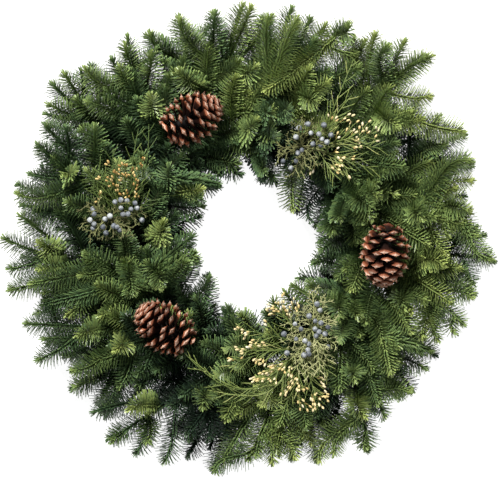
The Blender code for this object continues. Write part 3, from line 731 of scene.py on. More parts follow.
@dataclass
class Shoot:
    """A leafy shoot, with its course and its shade."""

    course: Course
    tone: float

    # Where its needles begin, the length of the longest, the radius of its stem at the root, and
    # how much sparser and broader its needles are, where others hide them
    first: float = 2.0
    needle: float = 22.0
    thick: float = TWIG_THICK
    coarse: float = 1.0

    def roots(self, draw: np.random.Generator) -> dict[str, np.ndarray]:
        """Where its needles start and how they lie.

        Args:
            draw: The source of small differences.

        Returns:
            Distance, turn round the shoot, lean, length, tone and end width of every needle.
        """
        rows = []
        phase = draw.uniform()
        for row in NEEDLE_ROWS:
            pitch = self.coarse * row.pitch
            count = max(1, int((self.course.length - self.first) / pitch))
            places = self.first + pitch * (np.arange(count) + (row.phase + phase) % 1.0)
            rows.append((
                places + draw.uniform(-ROOT_SPREAD, ROOT_SPREAD, count) * pitch,
                row.turn + draw.normal(0.0, TURN_SPREAD, count),
                row.lean + draw.normal(0.0, LEAN_SPREAD, count),
                np.full(count, row.share),
                np.full(count, row.shift),
                np.full(count, row.end),
            ))
        rows.append((
            self.course.length - draw.uniform(0.0, TUFT_DEPTH, TUFT_COUNT),
            np.arange(TUFT_COUNT) * GOLDEN_ANGLE + draw.uniform(0.0, 360.0),
            draw.uniform(*TUFT_LEANS, TUFT_COUNT),
            draw.uniform(*TUFT_SHARES, TUFT_COUNT),
            np.full(TUFT_COUNT, TUFT_SHIFT),
            np.full(TUFT_COUNT, TUFT_END),
        ))
        distance, turn, lean, share, shift, end = (np.concatenate(column) for column in zip(*rows))
        distance = np.clip(distance, 0.0, self.course.length)
        nearness = np.exp(-(self.course.length - distance) / TIP_STRETCH)
        length = self.needle * share * (1.0 - TIP_SHORTENING * nearness)
        length = length * draw.normal(1.0, LENGTH_SPREAD, len(distance))
        tone = self.tone + shift + draw.normal(0.0, TONE_SPREAD, len(distance))
        return {
            "distance": distance,
            "turn": turn,
            "lean": lean * (1.0 - TIP_LEANING * nearness),
            "length": length,
            "tone": tone + TIP_LIGHTENING * nearness,
            "end": end,
        }


def lay_needles(stamp: Stamp, shoot: Shoot, roots: dict[str, np.ndarray]) -> np.ndarray:
    """Put needles on a shoot.

    Args:
        stamp: The needle.
        shoot: The shoot.
        roots: Where the needles start and how they lie.

    Returns:
        Where each vertex of each needle goes.
    """
    u, v, t = stamp.verts.T
    breadth = np.where(t > 0.5, roots["end"][:, None], NEEDLE_FOOT) * math.sqrt(shoot.coarse)
    points, ahead, over = shoot.course.stations(roots["distance"])
    across = np.cross(ahead, over)
    turn = np.radians(roots["turn"])[:, None]
    lean = np.radians(roots["lean"])[:, None]
    side = np.cos(turn) * over + np.sin(turn) * across
    way = np.cos(lean) * ahead + np.sin(lean) * side
    way = way + NEEDLE_CURL * (ahead - way * np.sum(way * ahead, axis=1, keepdims=True))
    way[:, 2] += NEEDLE_RISE
    flank = unit(np.cross(ahead, side))
    back = unit(np.cross(flank, way))
    line = roots["length"][:, None, None] * t[None, :, None] * way[:, None]
    spread = u[None, :, None] * flank[:, None] + NEEDLE_FLATNESS * v[None, :, None] * back[:, None]
    laid = points[:, None] + line + breadth[:, :, None] * spread
    sunk = np.maximum(0.0, FLOOR_GAP - laid[:, :, 2].min(axis=1))
    laid[:, :, 2] += sunk[:, None] * t[None, :]
    return laid


@dataclass(frozen=True)
class Finish:
    """A plain finish, with its material's name and how rough it is."""

    name: str
    roughness: float

    def start(self) -> tuple[Material, Tree, bpy.types.Node]:
        """A new material with its shader.

        Returns:
            The material, its node tree and its Principled node.
        """
        material = bpy.data.materials.new(self.name)
        material.use_nodes = True
        tree = material.node_tree
        shader = tree.nodes["Principled BSDF"]
        shader.inputs["Roughness"].default_value = self.roughness
        return material, tree, shader


def attribute_node(tree: Tree, name: str) -> Socket:
    """The value of a piece's attribute.

    Args:
        tree: The material's nodes.
        name: The attribute's name.

    Returns:
        The value.
    """
    node = tree.nodes.new("ShaderNodeAttribute")
    node.attribute_name = name
    return node.outputs["Fac"]


def noise_node(tree: Tree, scale: float, detail: float = 2.0) -> Socket:
    """Noise over Object coordinates.

    Args:
        tree: The material's nodes.
        scale: Its waves to a metre.
        detail: How many finer waves it has.

    Returns:
        Its value.
    """
    place = tree.nodes.new("ShaderNodeTexCoord")
    noise = tree.nodes.new("ShaderNodeTexNoise")
    noise.inputs["Scale"].default_value = scale
    noise.inputs["Detail"].default_value = detail
    tree.links.new(place.outputs["Object"], noise.inputs["Vector"])
    return noise.outputs["Fac"]


def math_node(
    tree: Tree, operation: str, first: Union[Socket, float], second: Union[Socket, float]
) -> Socket:
    """A sum, a product or the like of two values.

    Args:
        tree: The material's nodes.
        operation: Blender's name for it.
        first: The first value.
        second: The second value.

    Returns:
        The result.
    """
    node = tree.nodes.new("ShaderNodeMath")
    node.operation = operation
    for place, value in enumerate((first, second)):
        if isinstance(value, Socket):
            tree.links.new(value, node.inputs[place])
        else:
            node.inputs[place].default_value = value
    return node.outputs["Value"]


def ramp_node(tree: Tree, value: Socket, stops: Sequence[tuple[float, Colour]]) -> Socket:
    """A colour read off a ramp.

    Args:
        tree: The material's nodes.
        value: What the ramp is read by.
        stops: Place and colour of each stop.

    Returns:
        The colour.
    """
    node = tree.nodes.new("ShaderNodeValToRGB")
    elements = node.color_ramp.elements
    for number, (place, colour) in enumerate(stops):
        element = elements[number] if number < 2 else elements.new(place)
        element.position = place
        element.color = (*colour, 1.0)
    tree.links.new(value, node.inputs["Fac"])
    return node.outputs["Color"]


def mix_node(
    tree: Tree, share: Union[Socket, float], first: Union[Socket, Colour],
    second: Union[Socket, Colour], kind: str = "MIX",
) -> Socket:
    """A blend of two colours.

    Args:
        tree: The material's nodes.
        share: The share of the second colour.
        first: The first colour.
        second: The second colour.
        kind: Blender's name for the kind of blend.

    Returns:
        The colour.
    """
    node = tree.nodes.new("ShaderNodeMix")
    node.data_type = "RGBA"
    node.blend_type = kind
    for name, value in (("Factor", share), ("A", first), ("B", second)):
        socket = node.inputs[name]
        if isinstance(value, Socket):
            tree.links.new(value, socket)
        elif isinstance(value, float):
            socket.default_value = value
        else:
            socket.default_value = (*value, 1.0)
    return node.outputs["Result"]


@dataclass(frozen=True)
class RampFinish(Finish):
    """A finish whose colour is read off a ramp by one attribute and shaded by the other."""

    # The place and colour of the ramp's stops, the attribute that it is read by, the one that the
    # colour is shaded by, and what it is multiplied by where that is 0 and where it is 1
    stops: tuple[tuple[float, Colour], ...] = ()
    driver: str = "tone"
    shader: str = "reach"
    root_shade: float = 0.45
    tip_light: Colour = (1.0, 1.0, 1.0)

    # Lighter and darker patches: their waves to a metre, and how far they shift the ramp
    patch_scale: float = 90.0
    patch_depth: float = 0.25

    # Fine bumps: their waves to a metre, their height in metres, or 0 for none, and how they show
    bump_scale: float = 900.0
    bump_depth: float = 0.0
    bump_strength: float = 0.6
    bump_detail: float = 4.0

    # How metallic it is, and how strongly it reflects
    metallic: float = 0.0
    specular: float = 0.5

    def material(self) -> Material:
        """Build the material.

        Returns:
            The material.
        """
        material, tree, shader = self.start()
        patches = math_node(tree, "SUBTRACT", noise_node(tree, self.patch_scale), 0.5)
        shift = math_node(tree, "MULTIPLY", patches, self.patch_depth)
        tone = math_node(tree, "ADD", attribute_node(tree, self.driver), shift)
        colour = ramp_node(tree, tone, self.stops)
        reach = attribute_node(tree, self.shader)
        dark = (self.root_shade,) * 3
        shade = mix_node(tree, reach, dark, self.tip_light)
        colour = mix_node(tree, 1.0, colour, shade, "MULTIPLY")
        tree.links.new(colour, shader.inputs["Base Color"])
        if self.bump_depth:
            bump = tree.nodes.new("ShaderNodeBump")
            bump.inputs["Strength"].default_value = self.bump_strength
            bump.inputs["Distance"].default_value = self.bump_depth
            bumps = noise_node(tree, self.bump_scale, self.bump_detail)
            tree.links.new(bumps, bump.inputs["Height"])
            tree.links.new(bump.outputs["Normal"], shader.inputs["Normal"])
        shader.inputs["Specular IOR Level"].default_value = self.specular
        shader.inputs["Metallic"].default_value = self.metallic
        return material


# Needles darken towards their roots as painted shade between them; their paler, bluer tips are their silvery
# bloom
FIR = RampFinish(
    "fir_needles", 0.38,
    stops=(
        (0.0, (0.022, 0.042, 0.022)), (0.3, (0.082, 0.144, 0.05)), (0.6, (0.186, 0.262, 0.07)),
        (1.0, (0.39, 0.45, 0.11)),
    ),
    root_shade=0.3, tip_light=(1.26, 1.28, 1.5),
)
TWIG_BARK = RampFinish(
    "fir_bark", 0.75,
    stops=((0.0, (0.035, 0.03, 0.012)), (1.0, (0.085, 0.09, 0.025))),
    root_shade=0.7, bump_depth=0.0006,
)
# Near black towards the scale roots: painted shade deep between the scales. The pale band near each scale's
# end is partly the umbo's own paler colour, partly a painted highlight
CONE_SCALE = RampFinish(
    "cone_scale", 0.6,
    stops=(
        (0.0, (0.005, 0.002, 0.001)), (0.62, (0.026, 0.007, 0.004)), (0.77, (0.13, 0.034, 0.013)),
        (0.83, (0.27, 0.078, 0.034)), (0.9, (0.38, 0.15, 0.084)), (0.96, (0.78, 0.55, 0.43)),
        (1.0, (0.38, 0.18, 0.11)),
    ),
    driver="reach", shader="tone", root_shade=0.4, patch_scale=420.0, patch_depth=0.12,
    bump_scale=1800.0, bump_depth=0.0007, specular=0.2,
)
CEDAR_LEAF = RampFinish(
    "cedar_leaf", 0.5,
    stops=(
        (0.0, (0.075, 0.12, 0.025)), (0.5, (0.2, 0.265, 0.06)), (0.82, (0.48, 0.5, 0.18)),
        (1.0, (0.5, 0.36, 0.1)),
    ),
    root_shade=0.7, patch_scale=300.0, patch_depth=0.3,
)
POLLEN_CONE = RampFinish(
    "pollen_cone", 0.6,
    stops=((0.0, (0.42, 0.24, 0.06)), (0.45, (0.84, 0.66, 0.28)), (1.0, (0.98, 0.94, 0.74))),
    root_shade=0.75, patch_scale=700.0, patch_depth=0.5, bump_scale=3000.0, bump_depth=0.0005,
)
JUNIPER_LEAF = RampFinish(
    "juniper_leaf", 0.6,
    stops=((0.0, (0.12, 0.12, 0.04)), (0.5, (0.34, 0.37, 0.14)), (1.0, (0.62, 0.62, 0.32))),
    root_shade=0.75, patch_scale=300.0, patch_depth=0.3,
)
BERRY = RampFinish(
    "juniper_berry", 0.55,
    stops=((0.0, (0.028, 0.034, 0.044)), (0.45, (0.165, 0.185, 0.213)), (1.0, (0.69, 0.72, 0.72))),
    root_shade=0.85, patch_scale=260.0, patch_depth=1.1,
)
RING_WIRE = RampFinish(
    "ring_wire", 0.38, stops=((0.0, (0.07, 0.11, 0.07)), (1.0, (0.11, 0.16, 0.11))),
    root_shade=1.0, metallic=0.8, patch_scale=200.0,
)
FLORIST_WIRE = RampFinish(
    "florist_wire", 0.4, stops=((0.0, (0.03, 0.09, 0.04)), (1.0, (0.07, 0.15, 0.08))),
    root_shade=1.0, metallic=0.3, patch_scale=200.0,
)


# The shade of plain wire
WIRE_TONE = 0.5


class Tone(Enum):
    """The usual shade of a tier's boughs, darker for lower tiers: painted shade under the boughs above."""

    LOW = 0.34
    HIGH = 0.42
    CREST = 0.5
    INNER = 0.36


@dataclass
class Bough:
    """A fir bough: its main stem's course and the shoots that grow on it."""

    name: str
    main: Course
    tone: float
    leafy: float
    shoots: list[Shoot] = field(default_factory=list)

    # How much of the stem is always bare, how much ahead and aside its side shoots set off,
    # and how much their tips turn its way
    bare_root: float = 2.0 * STEM_LEAD + 6.0
    set_off: tuple[float, float] = (0.63, 0.78)
    turned_ahead: float = 0.6

    def grow_main(self) -> None:
        """The main shoot, with needles on its leafy stretch."""
        first = max(self.bare_root, self.main.length - self.leafy)
        self.shoots.append(Shoot(self.main, self.tone, first, thick=LIMB_THICK))

    def grow_to(self, distance: float, tip: Vector, tone: float) -> None:
        """A side shoot to a given tip.

        Args:
            distance: Where on the main stem it starts.
            tip: Where it ends.
            tone: Its shade.
        """
        start, ahead, over = self.main.station(distance)
        across = ahead.cross(over)
        side = across if (tip - start).dot(across) > 0.0 else -across
        set_off = (self.set_off[0] * ahead + self.set_off[1] * side).normalized()
        finish = ((tip - start).normalized() + self.turned_ahead * ahead).normalized()
        self.shoots.append(Shoot(free_course(start, set_off, tip, finish, over), tone))

    def grow_side(
        self, distance: float, side: float, length: float, angle: float, lift: float, tone: float
    ) -> None:
        """A side shoot by its length and angle.

        Args:
            distance: Where on the main stem it starts.
            side: 1 for the right of the stem and -1 for the left.
            length: How far it reaches.
            angle: Its angle to the main stem, in degrees.
            lift: How much it climbs.
            tone: Its shade.
        """
        start, ahead, over = self.main.station(distance)
        turn = math.radians(angle)
        across = side * ahead.cross(over)
        way = math.cos(turn) * ahead + math.sin(turn) * across
        tip = start + length * way + lift * UP
        self.grow_to(distance, tip, tone)


@dataclass(frozen=True)
class Tier:
    """A tier of outer boughs, with one in each clamp."""

    # What the names of its nodes start with, and where its boughs lie in their clamps
    name: str
    slot: str

    # By clamp, the bearing and reach of a bough's tip and of its long side shoot's, and the heights
    # that tips have in turn
    tips: tuple[tuple[float, ...], ...]
    heights: tuple[float, ...]

    # How far clockwise of outwards tips point, in degrees, how much they climb, and the usual shade
    sweep: float
    climb: float
    tone: Tone


OUTER_TIERS = (
    Tier("fir_low", "low_outer", LOW_TIER, LOW_HEIGHTS, 12.0, 0.04, Tone.LOW),
    Tier("fir_high", "mid_outer", HIGH_TIER, HIGH_HEIGHTS, 24.0, 0.12, Tone.HIGH),
)


@dataclass(frozen=True)
class Bundle:
    """A further bough that each clamp grips, in the piece of one of its tiers."""

    # The tier whose piece holds it, and where it lies in the clamp
    tier: str
    slot: str

    # Its tip: how far clockwise of the clamp it lies, in degrees, its reach and its height, and how
    # far clockwise of outwards it points
    lag: float
    reach: float
    height: float
    sweep: float

    # Its usual shade, its longest side shoot, and how much sparser and broader its needles are
    tone: float
    longest: float
    coarse: float = 1.0


# Bundles that lie low have darker shades: painted shade under the boughs above
BUNDLES = (
    Bundle("fir_low", "low_outer", 23.0, 284.0, 16.0, 14.0, 0.26, 80.0, 1.2),
    Bundle("fir_low", "low_outer", 37.0, 296.0, 18.0, 12.0, 0.26, 80.0, 1.2),
    Bundle("fir_low", "low_outer", 36.0, 215.0, 10.0, 30.0, 0.2, 74.0, 1.8),
    Bundle("fir_high", "mid_outer", 36.0, 292.0, 64.0, 20.0, 0.42, 72.0),
    Bundle("fir_high", "mid_outer", 42.0, 246.0, 76.0, 30.0, 0.46, 66.0),
    Bundle("fir_high", "mid_outer", 28.0, 205.0, 56.0, 40.0, 0.3, 62.0, 1.6),
    Bundle("fir_inner", "mid_inner", 34.0, 126.0, 50.0, 110.0, 0.36, 44.0),
    Bundle("fir_inner", "mid_inner", 40.0, 160.0, 68.0, 90.0, 0.45, 50.0),
    Bundle("fir_inner", "low_inner", 24.0, 118.0, 14.0, 110.0, 0.2, 44.0, 1.8),
)


@dataclass(frozen=True)
class TwigHabit:
    """How a kind of bough grows its short side shoots."""

    # Their spacing, the longest of them, and how long those on the right are, as a share
    pitch: float
    longest: float
    right: float = 1.0

    # Where they start, as a share of the bough, how far short of its tip they stop, and how far
    # they keep from its own side shoots
    first: float = 0.3
    bare_tip: float = 40.0
    clearance: float = 20.0

    # Their length right at the tip, how much longer they are for each step back, and how lengths
    # and spacings vary
    shortest: float = 18.0
    growth: float = 0.66
    variation: tuple[float, float] = (0.85, 1.15)

    # Their angle to the bough, in degrees, and their climb
    angles: tuple[float, float] = (38.0, 54.0)
    lifts: tuple[float, float] = (-4.0, 8.0)


@dataclass
class Foliage:
    """All the fir boughs, in four tiers round the ring."""

    centre: Vector
    needle: Stamp
    twig: Stamp
    limb: Stamp
    materials: tuple[Material, Material]
    draw: np.random.Generator

    # How the tiers' boughs grow their short side shoots
    outer_twigs: TwigHabit = TwigHabit(24.0, 86.0)
    crest_twigs: TwigHabit = TwigHabit(19.0, 74.0)
    inner_twigs: TwigHabit = TwigHabit(19.0, 46.0, 0.5)

    # Outer boughs: their leafy share, and where the whorls of their two side shoots are, the first
    # of each pair where the long one grows on the left
    outer_leafy: float = 0.8
    whorl_first: float = 1.3
    long_whorls: tuple[int, int] = (2, 3)
    short_whorls: tuple[int, int] = (5, 4)

    # Crest and inner boughs: the way and climb of their tips, how much of their stems is bare, the
    # slack and the fork of a crest bough, and how far an inner one keeps back for its needles
    crest_sweep: float = 50.0
    crest_climb: float = 0.3
    crest_slack: float = 0.36
    crest_bare: float = 24.0
    crest_fork: float = 40.0
    inner_sweep: float = 140.0
    inner_climb: float = 0.1
    inner_tip: float = 0.7
    inner_bare: float = 20.0

    # The boughs of a bundle, whose tips stray by so many degrees, in reach and in height
    bundle_pitch: float = 25.0
    bundle_first: float = 40.0
    bundle_bare: float = 30.0
    bundle_strays: tuple[float, float, float] = (6.0, 12.0, 4.0)

    # How much shades vary
    shoot_spread: float = 0.07
    outer_spread: float = 0.08
    upper_spread: float = 0.1
    bundle_spread: float = 0.12

    # Shoots that stand out: the stretch of a bough on which they may grow, how many places of it
    # are tried, and how far the needles at their tips reach past them
    feature_stretch: tuple[float, float] = (0.1, 0.96)
    feature_steps: int = 30
    feature_tip: float = 9.0

    # The width of a stem near its tip and at it, as shares
    taper: float = 0.5
    end: float = 0.25

    # Painted shade that darkens needles deep inside the wreath: how high it reaches, how far out, and how
    # deep it is
    painted_shade_top: float = 66.0
    painted_shade_reach: float = 330.0
    painted_shade_fade: float = 80.0
    painted_shade_depth: float = 0.58

    def near(self, tone: float, spread: float) -> float:
        """A shade near another."""
        return tone + self.draw.normal(0.0, spread)

    def stray(self, most: float) -> float:
        """A number up to a size, of either sign."""
        return self.draw.uniform(-most, most)

    def twigs(
        self, bough: Bough, habit: TwigHabit, first: float,
        taken: Sequence[tuple[float, float]] = (),
    ) -> None:
        """Side shoots on alternate sides of a bough, longer further from its tip.

        Args:
            bough: The bough.
            habit: How they grow.
            first: Where they start.
            taken: Where it has a side shoot already: distance and side.
        """
        distance = first
        side = 1.0 if self.draw.uniform() < 0.5 else -1.0
        while distance < bough.main.length - habit.bare_tip:
            side = -side
            if all(abs(place - distance) > habit.clearance or side != other for place, other in taken):
                back = bough.main.length - distance
                length = min(habit.longest, habit.shortest + habit.growth * back)
                share = habit.right if side > 0.0 else 1.0
                length *= self.draw.uniform(*habit.variation) * share
                angle = self.draw.uniform(*habit.angles)
                lift = self.draw.uniform(*habit.lifts)
                shade = self.near(bough.tone, self.shoot_spread)
                bough.grow_side(distance, side, length, angle, lift, shade)
            distance += habit.pitch * self.draw.uniform(*habit.variation)

    def outer_bough(self, tier: Tier, clamp: int) -> Bough:
        """A bough of an outer tier, with its long and its short side shoot and its twigs.

        Args:
            tier: The tier.
            clamp: The clamp's number.

        Returns:
            The bough.
        """
        bearing, reach, side_bearing, side_reach = tier.tips[clamp]
        height = tier.heights[clamp % len(tier.heights)]
        tip = polar(bearing, reach - TERMINAL, height)
        course = clamped_course(clamp, tier.slot, tip, outward(bearing, tier.sweep, tier.climb))
        shade = self.near(tier.tone.value + OUTER_TONES[clamp], self.outer_spread)
        name = f"{tier.name}_{clamp + 1:02d}"
        bough = Bough(name, course, shade, self.outer_leafy * course.length)
        bough.grow_main()
        long_tip = polar(side_bearing, side_reach - TERMINAL, height - SIDE_DROP)
        point, ahead, over = course.station(course.length - SHORT_SIDE_BACK)
        across = ahead.cross(over)
        right = (long_tip - point).dot(across) > 0.0
        short_out = -SHORT_SIDE_OUT if right else SHORT_SIDE_OUT
        short_tip = point + short_out * across - SIDE_DROP * UP
        bare = course.length - LEAFY
        long_from = bare + WHORL_PITCH * self.long_whorls[right] + self.whorl_first
        short_from = bare + WHORL_PITCH * self.short_whorls[right] + self.whorl_first
        bough.grow_to(long_from, long_tip, self.near(shade, self.shoot_spread))
        bough.grow_to(short_from, short_tip, self.near(shade, self.shoot_spread))
        long_side = 1.0 if right else -1.0
        taken = ((long_from, long_side), (short_from, -long_side))
        self.twigs(bough, self.outer_twigs, self.outer_twigs.first * course.length, taken)
        return bough

    def crest_bough(self, number: int) -> Bough:
        """A bough on top of the ring, between the decorations.

        Args:
            number: Its number, from 0.

        Returns:
            The bough.
        """
        clamp, slot, bearing, reach, height = CREST_TIER[number]
        tip = polar(bearing, reach, height)
        finish = outward(bearing, self.crest_sweep, self.crest_climb)
        course = clamped_course(clamp, slot, tip, finish, self.crest_slack)
        shade = self.near(Tone.CREST.value + INNER_TONES[clamp], self.upper_spread)
        bough = Bough(f"fir_crest_{number + 1:02d}", course, shade, course.length - self.crest_bare)
        bough.grow_main()
        point, ahead, over = course.station(course.length - SHORT_SIDE_BACK)
        side_tip = point - SHORT_SIDE_OUT * ahead.cross(over)
        bough.grow_to(self.crest_fork, side_tip, self.near(bough.tone, self.shoot_spread))
        self.twigs(bough, self.crest_twigs, self.crest_twigs.first * course.length)
        return bough

    def inner_bough(self, clamp: int) -> Bough:
        """A bough that sweeps in round the hole.

        Args:
            clamp: The clamp's number.

        Returns:
            The bough.
        """
        bearing, reach, height = INNER_TIER[clamp]
        tip = polar(bearing, reach + self.inner_tip * TERMINAL, height)
        finish = outward(bearing, self.inner_sweep, self.inner_climb)
        course = clamped_course(clamp, "low_inner", tip, finish)
        shade = self.near(Tone.INNER.value + INNER_TONES[clamp], self.upper_spread)
        bough = Bough(f"fir_inner_{clamp + 1:02d}", course, shade, course.length - self.inner_bare)
        bough.grow_main()
        self.twigs(bough, self.inner_twigs, self.inner_twigs.first * course.length)
        return bough

    def bundled_bough(self, bundle: Bundle, clamp: int) -> Bough:
        """A further bough of a clamp.

        Args:
            bundle: How it grows.
            clamp: The clamp's number.

        Returns:
            The bough.
        """
        inner = bundle.tier == "fir_inner"
        turn, further, higher = self.bundle_strays
        bearing = clamp_bearing(clamp) - bundle.lag + self.stray(turn)
        reach = bundle.reach + self.stray(further) + (0.0 if inner else FULLNESS[clamp])
        tip = polar(bearing, reach, bundle.height + self.stray(higher))
        finish = outward(bearing, bundle.sweep, self.inner_climb)
        course = clamped_course(clamp, bundle.slot, tip, finish)
        tones = INNER_TONES if inner else OUTER_TONES
        shade = self.near(bundle.tone + tones[clamp], self.bundle_spread)
        bough = Bough(bundle.tier, course, shade, course.length - self.bundle_bare)
        bough.grow_main()
        right = self.inner_twigs.right if inner else 1.0
        habit = TwigHabit(self.bundle_pitch, bundle.longest, right)
        self.twigs(bough, habit, self.bundle_first)
        for shoot in bough.shoots:
            shoot.coarse = bundle.coarse
        return bough

    def feature(
        self, boughs: Sequence[Bough], tip: Pixel, root: Pixel, height: float, tone: float
    ) -> None:
        """A shoot that stands out, from wherever on a bough its root is nearest.

        Args:
            boughs: The boughs that it may grow on.
            tip: The pixel of its tip.
            root: The pixel near which it starts.
            height: How high its tip is.
            tone: Its shade.
        """
        aim = from_photo(*root, 0.0)
        line = (from_photo(*tip, 0.0) - aim).normalized()
        end = from_photo(*tip, height) - self.feature_tip * line
        starts = []
        for bough in boughs:
            distances = np.linspace(*self.feature_stretch, self.feature_steps) * bough.main.length
            points = bough.main.stations(distances)[0]
            gaps = np.hypot(points[:, 0] - aim.x, points[:, 1] - aim.y)
            nearest = int(np.argmin(gaps))
            starts.append((float(gaps[nearest]), float(distances[nearest]), bough))
        _, distance, bough = min(starts, key=lambda start: start[0])
        start, _, over = bough.main.station(distance)
        set_off = ((aim - start).normalized() + line + UP).normalized()
        bough.shoots.append(Shoot(free_course(start, set_off, end, line, over), tone))

    def boughs(self) -> list[Bough]:
        """Every bough of the wreath, with what its clamp grips besides.

        Returns:
            The boughs, one for each node.
        """
        made = [self.outer_bough(tier, clamp) for tier in OUTER_TIERS for clamp in range(CLAMP_COUNT)]
        made += [self.crest_bough(number) for number in range(len(CREST_TIER))]
        made += [self.inner_bough(clamp) for clamp in range(CLAMP_COUNT)]
        for tiers, features in ((("fir_high", "fir_crest"), FEATURES), (("fir_low",), RIM_FEATURES)):
            bearers = [bough for bough in made if bough.name.startswith(tiers)]
            for feature in features:
                self.feature(bearers, *feature)
        by_name = {bough.name: bough for bough in made}
        for bundle in BUNDLES:
            for clamp in range(CLAMP_COUNT):
                further = self.bundled_bough(bundle, clamp)
                by_name[f"{bundle.tier}_{clamp + 1:02d}"].shoots += further.shoots
        return made

    def painted_depth_shade(self, places: np.ndarray) -> np.ndarray:
        """Painted shade: how much darker needles are for lying deep inside the wreath.

        Args:
            places: Where each vertex of each needle goes.

        Returns:
            What to add to each needle's tone.
        """
        middle = places.mean(axis=1)
        depth = np.clip(1.0 - middle[:, 2] / self.painted_shade_top, 0.0, 1.0)
        reach = np.hypot(middle[:, 0], middle[:, 1])
        inside = np.clip((self.painted_shade_reach - reach) / self.painted_shade_fade, 0.0, 1.0)
        return -self.painted_shade_depth * depth * inside

    def lay_stems(self, piece: Piece, stamp: Stamp, shoots: Sequence[Shoot]) -> None:
        """Add the stems of some shoots to a piece.

        Args:
            piece: The piece.
            stamp: The tube that they are made from.
            shoots: The shoots.
        """
        rings = ring_numbers(stamp).max() + 1
        taper = np.linspace(1.0, self.taper, rings)
        taper[-1] = self.end
        widths = np.array([shoot.thick * taper for shoot in shoots]).reshape(-1, rings)
        laid = bend_tubes(stamp, [shoot.course for shoot in shoots], widths)
        tones = np.array([shoot.tone for shoot in shoots])
        piece.add(stamp, press_down(laid), tones, stamp.verts[:, 2] / (rings - 1.0), 1)

    def dress(self, bough: Bough) -> int:
        """Make a bough's piece.

        Args:
            bough: The bough.

        Returns:
            How many needles it has.
        """
        piece = Piece(f"{bough.name}_needled", self.centre)
        roots = [shoot.roots(self.draw) for shoot in bough.shoots]
        places = np.concatenate([
            lay_needles(self.needle, shoot, root) for shoot, root in zip(bough.shoots, roots)
        ])
        # Needles deep inside the wreath are darkened as painted shade
        tone = np.concatenate([root["tone"] for root in roots]) + self.painted_depth_shade(places)
        piece.add(self.needle, press_down(places), tone, self.needle.verts[:, 2])
        for stamp, is_limb in ((self.limb, True), (self.twig, False)):
            shoots = [shoot for shoot in bough.shoots if (shoot.thick > TWIG_THICK) == is_limb]
            self.lay_stems(piece, stamp, shoots)
        piece.finish([bough.name], "fir", self.materials)
        return len(tone)


@dataclass
class Kit:
    """What every decoration is made with."""

    centre: Vector
    draw: np.random.Generator
    strand: Stamp
    twiglet: Stamp
    tiny: Stamp
    bulb: Stamp
    bud: Stamp
    scale: Stamp
    limb: Stamp

    # Strands: how narrow and how wide by turns, their width near the tip and at it, and how their
    # widths and shades vary
    swell: tuple[float, float] = (0.74, 1.08)
    strand_taper: float = 0.62
    strand_end: float = 0.3
    strand_sizes: tuple[float, float] = (0.88, 1.12)
    strand_tones: float = 0.12

    # How the sizes and shades of egg shapes vary
    bulb_sizes: tuple[float, float] = (0.86, 1.12)
    bulb_tones: float = 0.14

    def pick(self, low: float, high: float) -> float:
        """A number between two others, by chance."""
        return float(self.draw.uniform(low, high))

    def beaded(
        self, piece: Piece, stamp: Stamp, courses: Sequence[Course], radius: float, tone: float,
        flat: float = 1.0,
    ) -> None:
        """Lay strands of overlapping small leaves: tubes that swell and narrow along their length.

        Args:
            piece: What they belong to.
            stamp: The tube.
            courses: Their courses.
            radius: Their half width at the root.
            tone: Their usual shade.
            flat: Their thickness as a share of their width.
        """
        rings = ring_numbers(stamp).max() + 1
        swell = np.where(np.arange(rings) % 2 == 0, *self.swell)
        taper = np.linspace(1.0, self.strand_taper, rings)
        taper[-1] = self.strand_end
        sizes = self.draw.uniform(*self.strand_sizes, (len(courses), 1))
        laid = bend_tubes(stamp, courses, radius * sizes * swell * taper, flat)
        tones = tone + self.draw.normal(0.0, self.strand_tones, len(courses))
        piece.add(stamp, laid, tones, stamp.verts[:, 2] / (rings - 1.0))

    def bulbs(
        self, piece: Piece, stamp: Stamp, centres: Sequence[Vector], ways: Sequence[Vector],
        radius: float, length: float, tone: float,
    ) -> None:
        """Put egg shapes at the ends of strands, in the piece's second material.

        Args:
            piece: What they belong to.
            stamp: The ball that they are made from.
            centres: Their middles.
            ways: The way that each one points.
            radius: Their half width.
            length: Their half length.
            tone: Their usual shade.
        """
        verts = stamp.verts * np.array((radius, radius, length))
        laid = np.empty((len(centres), len(verts), 3))
        for number, (middle, way) in enumerate(zip(centres, ways)):
            turn = np.array(UP.rotation_difference(way.normalized()).to_matrix())
            size = self.draw.uniform(*self.bulb_sizes)
            laid[number] = size * verts @ turn.T + np.array(tuple(middle))
        tones = tone + self.draw.normal(0.0, self.bulb_tones, len(laid))
        piece.add(stamp, laid, tones, 0.5 + 0.5 * stamp.verts[:, 2], 1)


